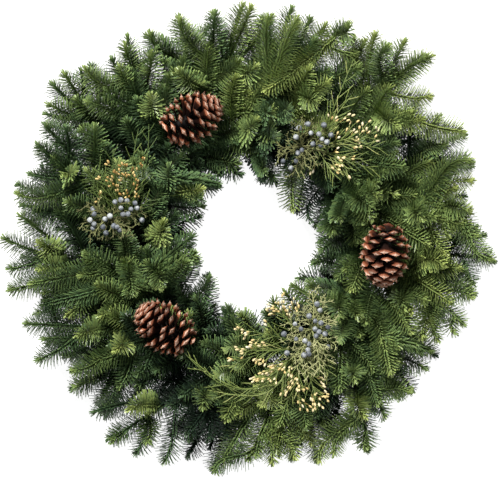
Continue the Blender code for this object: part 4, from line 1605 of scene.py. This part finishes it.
@dataclass
class PineCone:
    """An open pine cone: a core with woody scales in a spiral, each ending in a raised diamond."""

    kit: Kit
    name: str

    # The core, the scales, and along a scale its half width and half thickness
    core_length: float = 71.0
    core_radius: float = 9.0
    scales: int = 88
    profile: tuple = (
        (0.0, 2.4, 1.1), (0.45, 4.6, 1.2), (0.74, 7.6, 1.5), (0.82, 9.4, 3.5), (0.93, 5.6, 2.0),
        (0.99, 1.8, 0.9), (1.09, 0.2, 0.2),
    )

    # How scales stand: the step of the first, how they stray, and their tilt from base to tip
    first_scale: float = 0.6
    turns: float = 3.0
    tilt: float = -18.0
    tilt_gain: float = 92.0
    tilt_power: float = 0.85
    tilts: float = 4.0
    rolls: float = 0.16

    # Their lengths and widths: at the base, how much more in the middle, and how both change
    scale_length: tuple[float, float] = (15.5, 15.5)
    top_loss: float = 3.0
    length_power: float = 0.9
    scale_width: tuple[float, float] = (0.45, 1.1)
    widest: float = 0.86
    width_lead: float = 0.1
    widths: tuple[float, float] = (0.78, 1.08)

    # How far a scale's end curves over, and how deep its root sits in the core
    sag: float = 1.6
    seat: float = 0.9

    # The wire, and how far it goes in over the lowest scale
    wire_radius: float = 1.0
    wire_inside: float = 0.6

    def placement(self) -> Matrix:
        """Where the cone lies.

        Returns:
            The matrix from the cone's own axes, with +Z to its tip.
        """
        bearing, reach, height, pointing, _ = CONES[self.name]
        turn = UP.rotation_difference(Vector(pointing).normalized()).to_matrix().to_4x4()
        return Matrix.Translation(polar(bearing, reach, height)) @ turn

    def length_at(self, share: float) -> float:
        """The length of a scale by its place up the core."""
        base, more = self.scale_length
        return base + more * math.sin(math.pi * share ** self.length_power) - self.top_loss * share

    def width_at(self, share: float) -> float:
        """The width of a scale by its place up the core."""
        base, more = self.scale_width
        return min(1.0, base + more * math.sin(math.pi * min(self.widest, share + self.width_lead)))

    def girth_at(self, share: float) -> float:
        """How far from the core's axis a scale's root is, by its place up the core."""
        return self.core_radius * math.sqrt(max(0.0, 1.0 - (2.0 * share - 1.0) ** 2)) * self.seat

    def laid_scales(self) -> np.ndarray:
        """Lay the scales on the core.

        Returns:
            Where each vertex of each scale goes, about the cone's own axis.
        """
        draw = self.kit.draw
        spot = self.kit.scale.verts
        corner = np.abs(spot[:, :1]) + np.abs(spot[:, 1:2])
        spot = spot[:, :2] / corner
        ahead, half_width, half_thick = np.array(self.profile)[ring_numbers(self.kit.scale)].T
        laid = np.empty((self.scales, len(spot), 3))
        for number in range(self.scales):
            share = (number + self.first_scale) / self.scales
            angle = math.radians(GOLDEN_ANGLE * number + draw.normal(0.0, self.turns))
            radial = Vector((math.cos(angle), math.sin(angle), 0.0))
            tilt = self.tilt + self.tilt_gain * share ** self.tilt_power
            tilt = math.radians(tilt + draw.normal(0.0, self.tilts))
            way = math.cos(tilt) * radial + math.sin(tilt) * UP
            roll = Matrix.Rotation(draw.normal(0.0, self.rolls), 3, way)
            across = roll @ UP.cross(radial)
            thick = way.cross(across)
            width = self.width_at(share) * self.kit.pick(*self.widths)
            root = self.girth_at(share) * radial + self.core_length * (share - 0.5) * UP
            along = self.length_at(share) * ahead[:, None]
            sag = -self.sag * (ahead ** 2)[:, None]
            laid[number] = (
                np.array(root) + along * np.array(way) + sag * np.array(thick)
                + width * (spot[:, 0] * half_width)[:, None] * np.array(across)
                + (spot[:, 1] * half_thick)[:, None] * np.array(thick)
            )
        return laid

    def build(self, material: Material) -> np.ndarray:
        """Make the cone.

        Args:
            material: Its finish.

        Returns:
            Every vertex of its scales.
        """
        place = np.array(self.placement())
        piece = Piece(f"{self.name}_scaled", self.kit.centre)
        laid = self.laid_scales() @ place[:3, :3].T + place[:3, 3]
        reach = np.array(self.profile)[ring_numbers(self.kit.scale), 0]
        piece.add(self.kit.scale, laid, self.kit.draw.uniform(0.0, 1.0, self.scales), reach)
        # The core takes the ramp's near-black root colour: painted shade between the scales
        half_size = (self.core_radius, self.core_radius, 0.5 * self.core_length)
        core = (self.kit.bulb.verts * np.array(half_size)) @ place[:3, :3].T + place[:3, 3]
        piece.add(self.kit.bulb, core[None], np.array((0.0,)), np.zeros(len(core)))
        piece.finish([self.name], "cone_scale", [material])
        return laid.reshape(-1, 3)

    def wire(self, scales: np.ndarray, material: Material) -> None:
        """The florist's wire that holds the cone: out of a clamp and up to its lowest base scale.

        Args:
            scales: Every vertex of the cone's scales.
            material: The wire's finish.
        """
        bearing, reach, height, pointing, clamp = CONES[self.name]
        middle = np.array(polar(bearing, reach, height))
        base_half = scales[(scales - middle) @ np.array(pointing) < 0.0]
        seat = Vector(base_half[np.argmin(base_half[:, 2])])
        course = clamped_course(clamp, "ridge", seat + self.wire_inside * UP, UP)
        stamp = self.kit.limb
        piece = Piece(f"{self.name}_wire_round", self.kit.centre)
        rings = ring_numbers(stamp).max() + 1
        laid = bend_tubes(stamp, [course], np.full((1, rings), self.wire_radius))
        piece.add(stamp, laid, np.array((WIRE_TONE,)), np.zeros(len(stamp.verts)))
        piece.finish([f"{self.name}_wire"], "florist_wire", [material])


@dataclass
class CedarSpray:
    """Flat yellow-green cedar strands that fan out from one stem, with golden pollen cones."""

    kit: Kit
    name: str
    materials: tuple[Material, Material]

    # The stem and the long strands that leave it one after another
    stem_climb: float = 1.2
    stem_slack: float = 0.42
    root_pitch: float = 0.95
    bends: tuple[float, float] = (-0.3, 0.3)
    rise: float = 0.38
    fall: float = 0.2
    bowed_slack: float = 0.6

    # Coned strands: where on a long strand they may fork off, what each radian off the best angle
    # costs as a length, and how they rise
    fork_stretch: tuple[float, float] = (0.12, 0.94)
    fork_steps: int = 24
    fork_angle: float = 0.42
    fork_play: float = 0.1
    fork_cost: float = 90.0
    fork_rises: tuple[float, float] = (1.0, 8.0)
    fork_ahead: float = 0.5
    coned_height: float = 90.0

    # Side strands, longer near the root of a long strand
    sprig_turns: tuple[float, float] = (0.35, 0.6)
    sprig_rises: tuple[float, float] = (-1.0, 3.0)
    sprig_ahead: float = 0.35
    sprig_stretch: tuple[float, float] = (0.3, 0.92)
    sprig_count: int = 8
    sprig_lengths: tuple[float, float] = (20.0, 34.0)
    sprig_fit: float = 1.25
    sprig_least: float = 8.0

    # Pollen cones and their stalks
    bud_lengths: tuple[float, float] = (5.0, 10.0)
    bud_size: tuple[float, float] = (1.6, 2.9)
    bud_tone: float = 0.58

    # Half widths and shades of long, coned and side strands and of stalks
    radii: tuple[float, ...] = (1.0, 0.8, 0.85, 0.8)
    tones: tuple[float, ...] = (0.35, 0.45, 0.5, 0.95)
    flat: float = 0.6
    stem_radius: float = 2.2
    stem_tone: float = 0.2

    def mains(self) -> tuple[Course, list[Course]]:
        """Lay the stem and the long strands, each with a slight bend to one side.

        Returns:
            The course of the stem and those of the long strands.
        """
        clamp, hub, ends, _ = CEDARS[self.name]
        tips = [Vector(end[:3]) for end in ends]
        mean = sum(tips, Vector()) / len(tips)
        finish = ((mean - Vector(hub)).normalized() + self.stem_climb * UP).normalized()
        stem = clamped_course(clamp, "mid_inner", Vector(hub), finish, self.stem_slack)
        strands = []
        for number, (tip, end) in enumerate(zip(tips, ends)):
            start = stem.station(stem.length - self.root_pitch * (number + 1))[0]
            reach = tip - start
            bowed = len(end) > len(tip)
            bow = end[-1] if bowed else self.kit.pick(*self.bends)
            bend = bow * reach.cross(UP).normalized()
            set_off = (reach.normalized() + self.rise * UP + bend).normalized()
            finish = (reach.normalized() - self.fall * UP - bend).normalized()
            slack = self.bowed_slack if bowed else SHOOT_SLACK
            strands.append(free_course(start, set_off, tip, finish, slack=slack))
        return stem, strands

    def fork(self, strands: Sequence[Course], end: Vector) -> Course:
        """Lay a side strand to a point, from wherever on the long strands it would best fork off.

        Args:
            strands: The long strands.
            end: The point, whose height isn't used.

        Returns:
            The side strand's course.
        """
        forks = []
        for strand in strands:
            distances = np.linspace(*self.fork_stretch, self.fork_steps) * strand.length
            points, ahead, _ = strand.stations(distances)
            gap = np.array(end) - points
            gap[:, 2] = 0.0
            size = np.linalg.norm(gap, axis=1) + TINY
            angle = np.arccos(np.clip(np.sum(gap * ahead, axis=1) / size, -1.0, 1.0))
            wrong = np.maximum(0.0, np.abs(angle - self.fork_angle) - self.fork_play)
            cost = size + self.fork_cost * wrong
            place = int(np.argmin(cost))
            forks.append((cost[place], strand, distances[place]))
        _, strand, distance = min(forks, key=lambda best: best[0])
        start, ahead, over = strand.station(distance)
        tip = Vector((end.x, end.y, start.z + self.kit.pick(*self.fork_rises)))
        finish = ((tip - start).normalized() + self.fork_ahead * ahead).normalized()
        return free_course(start, ahead, tip, finish, over)

    def sprig(self, strand: Course, share: float, side: float, length: float) -> Course:
        """Lay a side strand by its place, its side and its length.

        Args:
            strand: The strand that it grows on.
            share: Where on it, as a share of its length.
            side: 1 for the right of the strand and -1 for the left.
            length: How long it is.

        Returns:
            The side strand's course.
        """
        start, ahead, over = strand.station(share * strand.length)
        turn = self.kit.pick(*self.sprig_turns)
        way = math.cos(turn) * ahead + side * math.sin(turn) * ahead.cross(over)
        tip = start + length * way + self.kit.pick(*self.sprig_rises) * UP
        return free_course(start, way, tip, (way + self.sprig_ahead * ahead).normalized(), over)

    def build(self) -> None:
        """Make the spray."""
        lighter, buds = CEDAR_LOOKS[self.name]
        stem, strands = self.mains()
        coned = [
            self.fork(strands, from_photo(across, down, self.coned_height))
            for across, down in CEDARS[self.name][3]
        ]
        shares = np.linspace(*self.sprig_stretch, self.sprig_count).tolist()
        sprigs = []
        for strand in strands:
            for number, share in enumerate(shares):
                length = self.kit.pick(*self.sprig_lengths) * (self.sprig_fit - share)
                side = 1.0 if number % 2 else -1.0
                sprigs.append(self.sprig(strand, share, side, length + self.sprig_least))
        golden = [
            self.sprig(strand, share, 1.0 if number % 2 else -1.0, self.kit.pick(*self.bud_lengths))
            for strand in coned for number, share in enumerate(buds)
        ]
        piece = Piece(f"{self.name}_leafy", self.kit.centre)
        stamps = (self.kit.strand, self.kit.twiglet, self.kit.twiglet, self.kit.tiny)
        kinds = zip(stamps, (strands, coned, sprigs, golden), self.radii, self.tones)
        for stamp, courses, radius, tone in kinds:
            self.kit.beaded(piece, stamp, courses, radius, tone + lighter, self.flat)
        self.kit.beaded(piece, self.kit.limb, [stem], self.stem_radius, self.stem_tone)
        width, length = self.bud_size
        ends = [strand.station(strand.length) for strand in coned + golden]
        middles = [end + width * ahead for end, ahead, _ in ends]
        ways = [ahead for _, ahead, _ in ends]
        self.kit.bulbs(piece, self.kit.bud, middles, ways, width, length, self.bud_tone + lighter)
        piece.finish([self.name], "cedar", self.materials)


@dataclass
class JuniperBunch:
    """Juniper twigs with fine beaded fronds and bloom-covered berries."""

    kit: Kit
    name: str
    materials: tuple[Material, Material]

    # The stem, the main twigs round its end, and the fronds
    stem_slack: float = 0.3
    twig_reach: float = 31.0
    twig_rises: tuple[float, ...] = (13.0, 19.0, 13.0, 19.0)
    frond_rises: tuple[float, float] = (-2.0, 9.0)
    root_pitch: float = 1.0
    bends: tuple[float, float] = (-0.35, 0.35)
    rise: float = 0.38

    # Branchlets, and the finer ones on them
    branchlet_stretch: tuple[float, float] = (0.25, 0.98)
    branchlet_turns: tuple[float, float] = (0.5, 0.95)
    branchlet_lifts: tuple[float, float] = (-0.3, 0.5)
    branchlet_lengths: tuple[float, float] = (8.0, 17.0)
    branchlet_ahead: float = 0.6
    finer_shares: tuple[float, float] = (0.4, 0.65)
    finer_aside: float = 0.8
    finer_lengths: tuple[float, float] = (3.5, 6.5)

    # Berries and where their stalks may grow on a twig
    berry_rises: tuple[float, float] = (7.0, 14.0)
    stalk_shares: tuple[float, ...] = (0.3, 0.55, 0.8)
    berry_size: tuple[float, float] = (3.9, 3.8)
    berry_tone: float = 0.5

    # Half widths and shades of twigs, branchlets, finer ones and stalks
    radii: tuple[float, ...] = (1.1, 0.8, 0.75, 0.7)
    tones: tuple[float, ...] = (0.35, 0.6, 0.7, 0.3)
    flat: float = 0.9
    stem_radius: float = 2.2
    stem_tone: float = 0.2

    def twigs(self) -> tuple[Course, list[Course]]:
        """Lay the stem, the main twigs and the fronds.

        Returns:
            The course of the stem and those of the twigs and fronds.
        """
        clamp, hub, first, _, ends = JUNIPERS[self.name]
        hub = Vector(hub)
        stem = clamped_course(clamp, "top", hub, UP, self.stem_slack)
        pitch = 360.0 / len(self.twig_rises)
        tips = [
            hub + polar(first + pitch * number, self.twig_reach, rise)
            for number, rise in enumerate(self.twig_rises)
        ]
        tips += [
            from_photo(across, down, hub.z + self.kit.pick(*self.frond_rises)) for across, down in ends
        ]
        twigs = []
        for number, tip in enumerate(tips):
            start = stem.station(stem.length - self.root_pitch * (number + 1))[0]
            reach = tip - start
            bend = self.kit.pick(*self.bends) * reach.cross(UP).normalized()
            set_off = (reach.normalized() + self.rise * UP + bend).normalized()
            twigs.append(free_course(start, set_off, tip, (reach.normalized() - bend).normalized()))
        return stem, twigs

    def branchlets(self, twigs: Sequence[Course], pitch: float) -> list[Course]:
        """Lay branchlets on alternate sides of the twigs.

        Args:
            twigs: The twigs.
            pitch: The distance between branchlets.

        Returns:
            Their courses.
        """
        made = []
        for twig in twigs:
            shares = np.arange(*self.branchlet_stretch, pitch / twig.length).tolist()
            for number, share in enumerate(shares):
                start, ahead, over = twig.station(share * twig.length)
                side = (1.0 if number % 2 else -1.0) * ahead.cross(over)
                turn = self.kit.pick(*self.branchlet_turns)
                aside = side + self.kit.pick(*self.branchlet_lifts) * over
                way = math.cos(turn) * ahead + math.sin(turn) * aside
                length = self.kit.pick(*self.branchlet_lengths)
                finish = (way + self.branchlet_ahead * ahead).normalized()
                made.append(free_course(start, way, start + length * way, finish, over))
        return made

    def finer(self, branchlets: Sequence[Course]) -> list[Course]:
        """Lay the finest twigs on the branchlets.

        Args:
            branchlets: The branchlets.

        Returns:
            Their courses.
        """
        made = []
        for branchlet in branchlets:
            for number, share in enumerate(self.finer_shares):
                start, ahead, over = branchlet.station(share * branchlet.length)
                side = (1.0 if number % 2 else -1.0) * ahead.cross(over)
                way = (ahead + self.finer_aside * side).normalized()
                tip = start + self.kit.pick(*self.finer_lengths) * way
                made.append(free_course(start, way, tip, ahead, over))
        return made

    def berries(self, twigs: Sequence[Course]) -> tuple[list[Vector], list[Course]]:
        """Place the berries, each on a stalk from the nearest twig.

        Args:
            twigs: The twigs.

        Returns:
            The berries' middles and their stalks' courses.
        """
        _, hub, _, pixels, _ = JUNIPERS[self.name]
        berries = []
        stalks = []
        for across, down in pixels:
            berry = from_photo(across, down, hub[2] + self.kit.pick(*self.berry_rises))
            spots = [twig.station(share * twig.length) for twig in twigs for share in self.stalk_shares]
            start, ahead, over = min(spots, key=lambda spot: (spot[0] - berry).length)
            stalks.append(free_course(start, over, berry, (berry - start).normalized(), ahead))
            berries.append(berry)
        return berries, stalks

    def build(self) -> None:
        """Make the bunch."""
        lighter, pitch = JUNIPER_LOOKS[self.name]
        stem, twigs = self.twigs()
        branchlets = self.branchlets(twigs, pitch)
        finer = self.finer(branchlets)
        berries, stalks = self.berries(twigs)
        piece = Piece(f"{self.name}_leafy", self.kit.centre)
        stamps = (self.kit.strand, self.kit.twiglet, self.kit.tiny, self.kit.tiny)
        kinds = zip(stamps, (twigs, branchlets, finer, stalks), self.radii, self.tones)
        for stamp, courses, radius, tone in kinds:
            self.kit.beaded(piece, stamp, courses, radius, tone + lighter, self.flat)
        self.kit.beaded(piece, self.kit.limb, [stem], self.stem_radius, self.stem_tone)
        ways = [Vector(self.kit.draw.normal(0.0, 1.0, 3)) for _ in berries]
        self.kit.bulbs(piece, self.kit.bulb, berries, ways, *self.berry_size, self.berry_tone)
        piece.finish([self.name], "juniper", self.materials)


@dataclass
class ClampRing:
    """The round wire ring with its clamps of bent strip."""

    centre: Vector
    wire_radius: float = 2.0
    wire_sides: int = 12
    wire_steps: int = 4 * RING_STEPS

    # A clamp of strip: its outline, thickness and width, and its rounded edges
    half_width: float = 6.3
    floor: float = 2.0
    eaves: float = 12.1
    ridge: float = 19.2
    strip: float = 1.2
    length: float = 5.0
    edge: float = 0.3
    edge_steps: int = 2

    def wire(self) -> Shape:
        """Bend the wire round and close it.

        Returns:
            The shape.
        """
        bm = bmesh.new()
        section = bmesh.ops.create_circle(bm, segments=self.wire_sides, radius=self.wire_radius)["verts"]
        upright = Matrix.Rotation(math.pi / 2.0, 4, "X")
        place = Matrix.Translation((RING_RADIUS, 0.0, self.wire_radius)) @ upright
        bmesh.ops.transform(bm, matrix=place, verts=section)
        bmesh.ops.spin(
            bm, geom=bm.edges[:] + bm.verts[:], cent=(0, 0, 0), axis=(0, 0, 1),
            angle=2.0 * math.pi, steps=self.wire_steps, use_merge=True,
        )
        return bm

    def clamp(self, number: int) -> Shape:
        """Make one clamp: a house-shaped loop of strip with rounded edges, its floor in the wire.

        Args:
            number: The clamp's number.

        Returns:
            The shape.
        """
        bm = bmesh.new()
        outline = (
            (-self.half_width, self.floor), (self.half_width, self.floor),
            (self.half_width, self.eaves), (0.0, self.ridge), (-self.half_width, self.eaves),
        )
        bearing = clamp_bearing(number)
        outwards = polar(bearing, 1.0)
        back = CLAMP_REACH * outwards - 0.5 * self.length * clockwise(bearing)
        corners = [bm.verts.new(back + across * outwards + height * UP) for across, height in outline]
        house = bm.faces.new(corners)
        house.normal_update()
        bmesh.ops.inset_region(
            bm, faces=[house], thickness=self.strip, use_boundary=True, use_even_offset=True
        )
        bmesh.ops.delete(bm, geom=[house], context="FACES")
        front = bmesh.ops.extrude_face_region(bm, geom=bm.faces[:])["geom"]
        moved = [item for item in front if isinstance(item, bmesh.types.BMVert)]
        bmesh.ops.translate(bm, vec=self.length * clockwise(bearing), verts=moved)
        bmesh.ops.recalc_face_normals(bm, faces=bm.faces)
        bmesh.ops.bevel(
            bm, geom=bm.edges[:], offset=self.edge, segments=self.edge_steps, profile=0.5,
            affect="EDGES", clamp_overlap=True, material=-1,
        )
        return bm

    def build(self, material: Material) -> None:
        """Make the ring.

        Args:
            material: Its finish.
        """
        piece = Piece("ring_round", self.centre)
        shapes = [self.wire()] + [self.clamp(number) for number in range(CLAMP_COUNT)]
        for shape in shapes:
            stamp = Stamp("ring_part", shape)
            piece.add(stamp, stamp.verts[None], np.array((WIRE_TONE,)), np.ones(len(stamp.verts)))
        piece.finish(["ring_frame"], "ring_wire", [material])


@dataclass(frozen=True)
class Lamp:
    """A soft square light that points at the wreath, in metres and watts."""

    name: str
    place: tuple[float, float, float]
    size: float
    power: float
    colour: Colour

    def hang(self, target: Vector) -> None:
        """Put it up.

        Args:
            target: What it points at.
        """
        data = bpy.data.lights.new(self.name, "AREA")
        data.size = self.size
        data.energy = self.power
        data.color = self.colour
        lamp = bpy.data.objects.new(self.name, data)
        lamp.location = self.place
        way = target - Vector(self.place)
        lamp.rotation_euler = way.to_track_quat("-Z", "Y").to_euler()
        bpy.context.scene.collection.objects.link(lamp)


@dataclass
class Studio:
    """The pale floor, the camera over the wreath and the soft lights."""

    centre: Vector

    # The floor, which shines a little of itself
    floor_size: float = 6.0
    floor_height: float = -0.0006
    floor_finish: Finish = Finish("floor_white", 0.9)
    floor_colour: Colour = (0.3, 0.3, 0.3)
    floor_glow: float = 0.93

    # How far the camera sees, where the lamps point, and how bright the white all round is
    sight: float = 30.0
    aim: tuple[float, float, float] = (0.0, 0.0, 0.05)
    lamps: tuple[Lamp, ...] = (
        Lamp("key_light", (-0.9, 1.8, 2.1), 0.55, 146.0, (1.0, 0.98, 0.94)),
        Lamp("fill_light", (1.6, -1.0, 2.2), 1.6, 22.0, (0.94, 0.97, 1.0)),
    )
    surroundings: float = 0.18

    def floor(self) -> None:
        """Lay a plain white floor that hardly takes a shadow."""
        bm = bmesh.new()
        bmesh.ops.create_grid(bm, x_segments=1, y_segments=1, size=self.floor_size)
        bmesh.ops.translate(bm, vec=(0.0, 0.0, self.floor_height), verts=bm.verts)
        mesh = bpy.data.meshes.new("floor")
        bm.to_mesh(mesh)
        bm.free()
        material, _, shader = self.floor_finish.start()
        shader.inputs["Base Color"].default_value = (*self.floor_colour, 1.0)
        shader.inputs["Emission Color"].default_value = (1.0, 1.0, 1.0, 1.0)
        shader.inputs["Emission Strength"].default_value = self.floor_glow
        mesh.materials.append(material)
        floor = bpy.data.objects.new("floor", mesh)
        bpy.context.scene.collection.objects.link(floor)

    def camera(self) -> None:
        """Put a long lens straight above, with the photograph's framing."""
        target = self.centre + MM * from_photo(PHOTO_WIDTH / 2.0, PHOTO_HEIGHT / 2.0, 0.0)
        data = bpy.data.cameras.new("camera")
        data.lens = LENS
        data.sensor_width = SENSOR
        data.clip_end = self.sight
        camera = bpy.data.objects.new("camera", data)
        camera.location = (target.x, target.y, MM * (SHARP_HEIGHT + CAMERA_DISTANCE))
        bpy.context.scene.collection.objects.link(camera)
        bpy.context.scene.camera = camera

    def build(self) -> None:
        """Put up the studio."""
        self.floor()
        self.camera()
        for lamp in self.lamps:
            lamp.hang(Vector(self.aim))
        world = bpy.data.worlds.new("world")
        world.use_nodes = True
        background = world.node_tree.nodes["Background"]
        background.inputs["Color"].default_value = (1.0, 1.0, 1.0, 1.0)
        background.inputs["Strength"].default_value = self.surroundings
        bpy.context.scene.world = world
        bpy.context.scene.view_settings.view_transform = "Standard"


def ring_centre() -> Vector:
    """The middle of the ring, on the floor, in metres."""
    low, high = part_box("ring_frame")
    return Vector(((low.x + high.x) / 2.0, (low.y + high.y) / 2.0, 0.0))


def main() -> None:
    """Build every piece in order, then the studio."""
    logging.basicConfig(level=logging.INFO, format="%(name)s: %(message)s")
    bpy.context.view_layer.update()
    centre = ring_centre()
    foliage = Foliage(
        centre=centre,
        needle=Stamp("needle", needle_shape(), smooth=False),
        twig=Stamp("twig", tube(sides=4, rings=7)),
        limb=Stamp("limb", tube(sides=6, rings=18)),
        materials=(FIR.material(), TWIG_BARK.material()),
        draw=np.random.default_rng(SEED),
    )
    boughs = foliage.boughs()
    needles = sum(foliage.dress(bough) for bough in boughs)
    LOG.info("%d needles on %d shoots", needles, sum(len(bough.shoots) for bough in boughs))
    kit = Kit(
        centre=centre,
        draw=np.random.default_rng(SEED + 1),
        strand=Stamp("strand", tube(sides=5, rings=20)),
        twiglet=Stamp("twiglet", tube(sides=4, rings=7)),
        tiny=Stamp("tiny", tube(sides=3, rings=4)),
        bulb=Stamp("bulb", ball(around=12, along=8)),
        bud=Stamp("bud", ball(around=8, along=6)),
        scale=Stamp("scale", tube(sides=8, rings=7), smooth=False),
        limb=Stamp("limb", tube(sides=8, rings=30)),
    )
    ClampRing(centre).build(RING_WIRE.material())
    cone_material = CONE_SCALE.material()
    wire_material = FLORIST_WIRE.material()
    for name in CONES:
        cone = PineCone(kit, name)
        cone.wire(cone.build(cone_material), wire_material)
    cedar = (CEDAR_LEAF.material(), POLLEN_CONE.material())
    for name in CEDARS:
        CedarSpray(kit, name, cedar).build()
    juniper = (JUNIPER_LEAF.material(), BERRY.material())
    for name in JUNIPERS:
        JuniperBunch(kit, name, juniper).build()
    Studio(centre).build()
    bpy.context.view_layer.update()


if __name__ == "__main__":
    main()
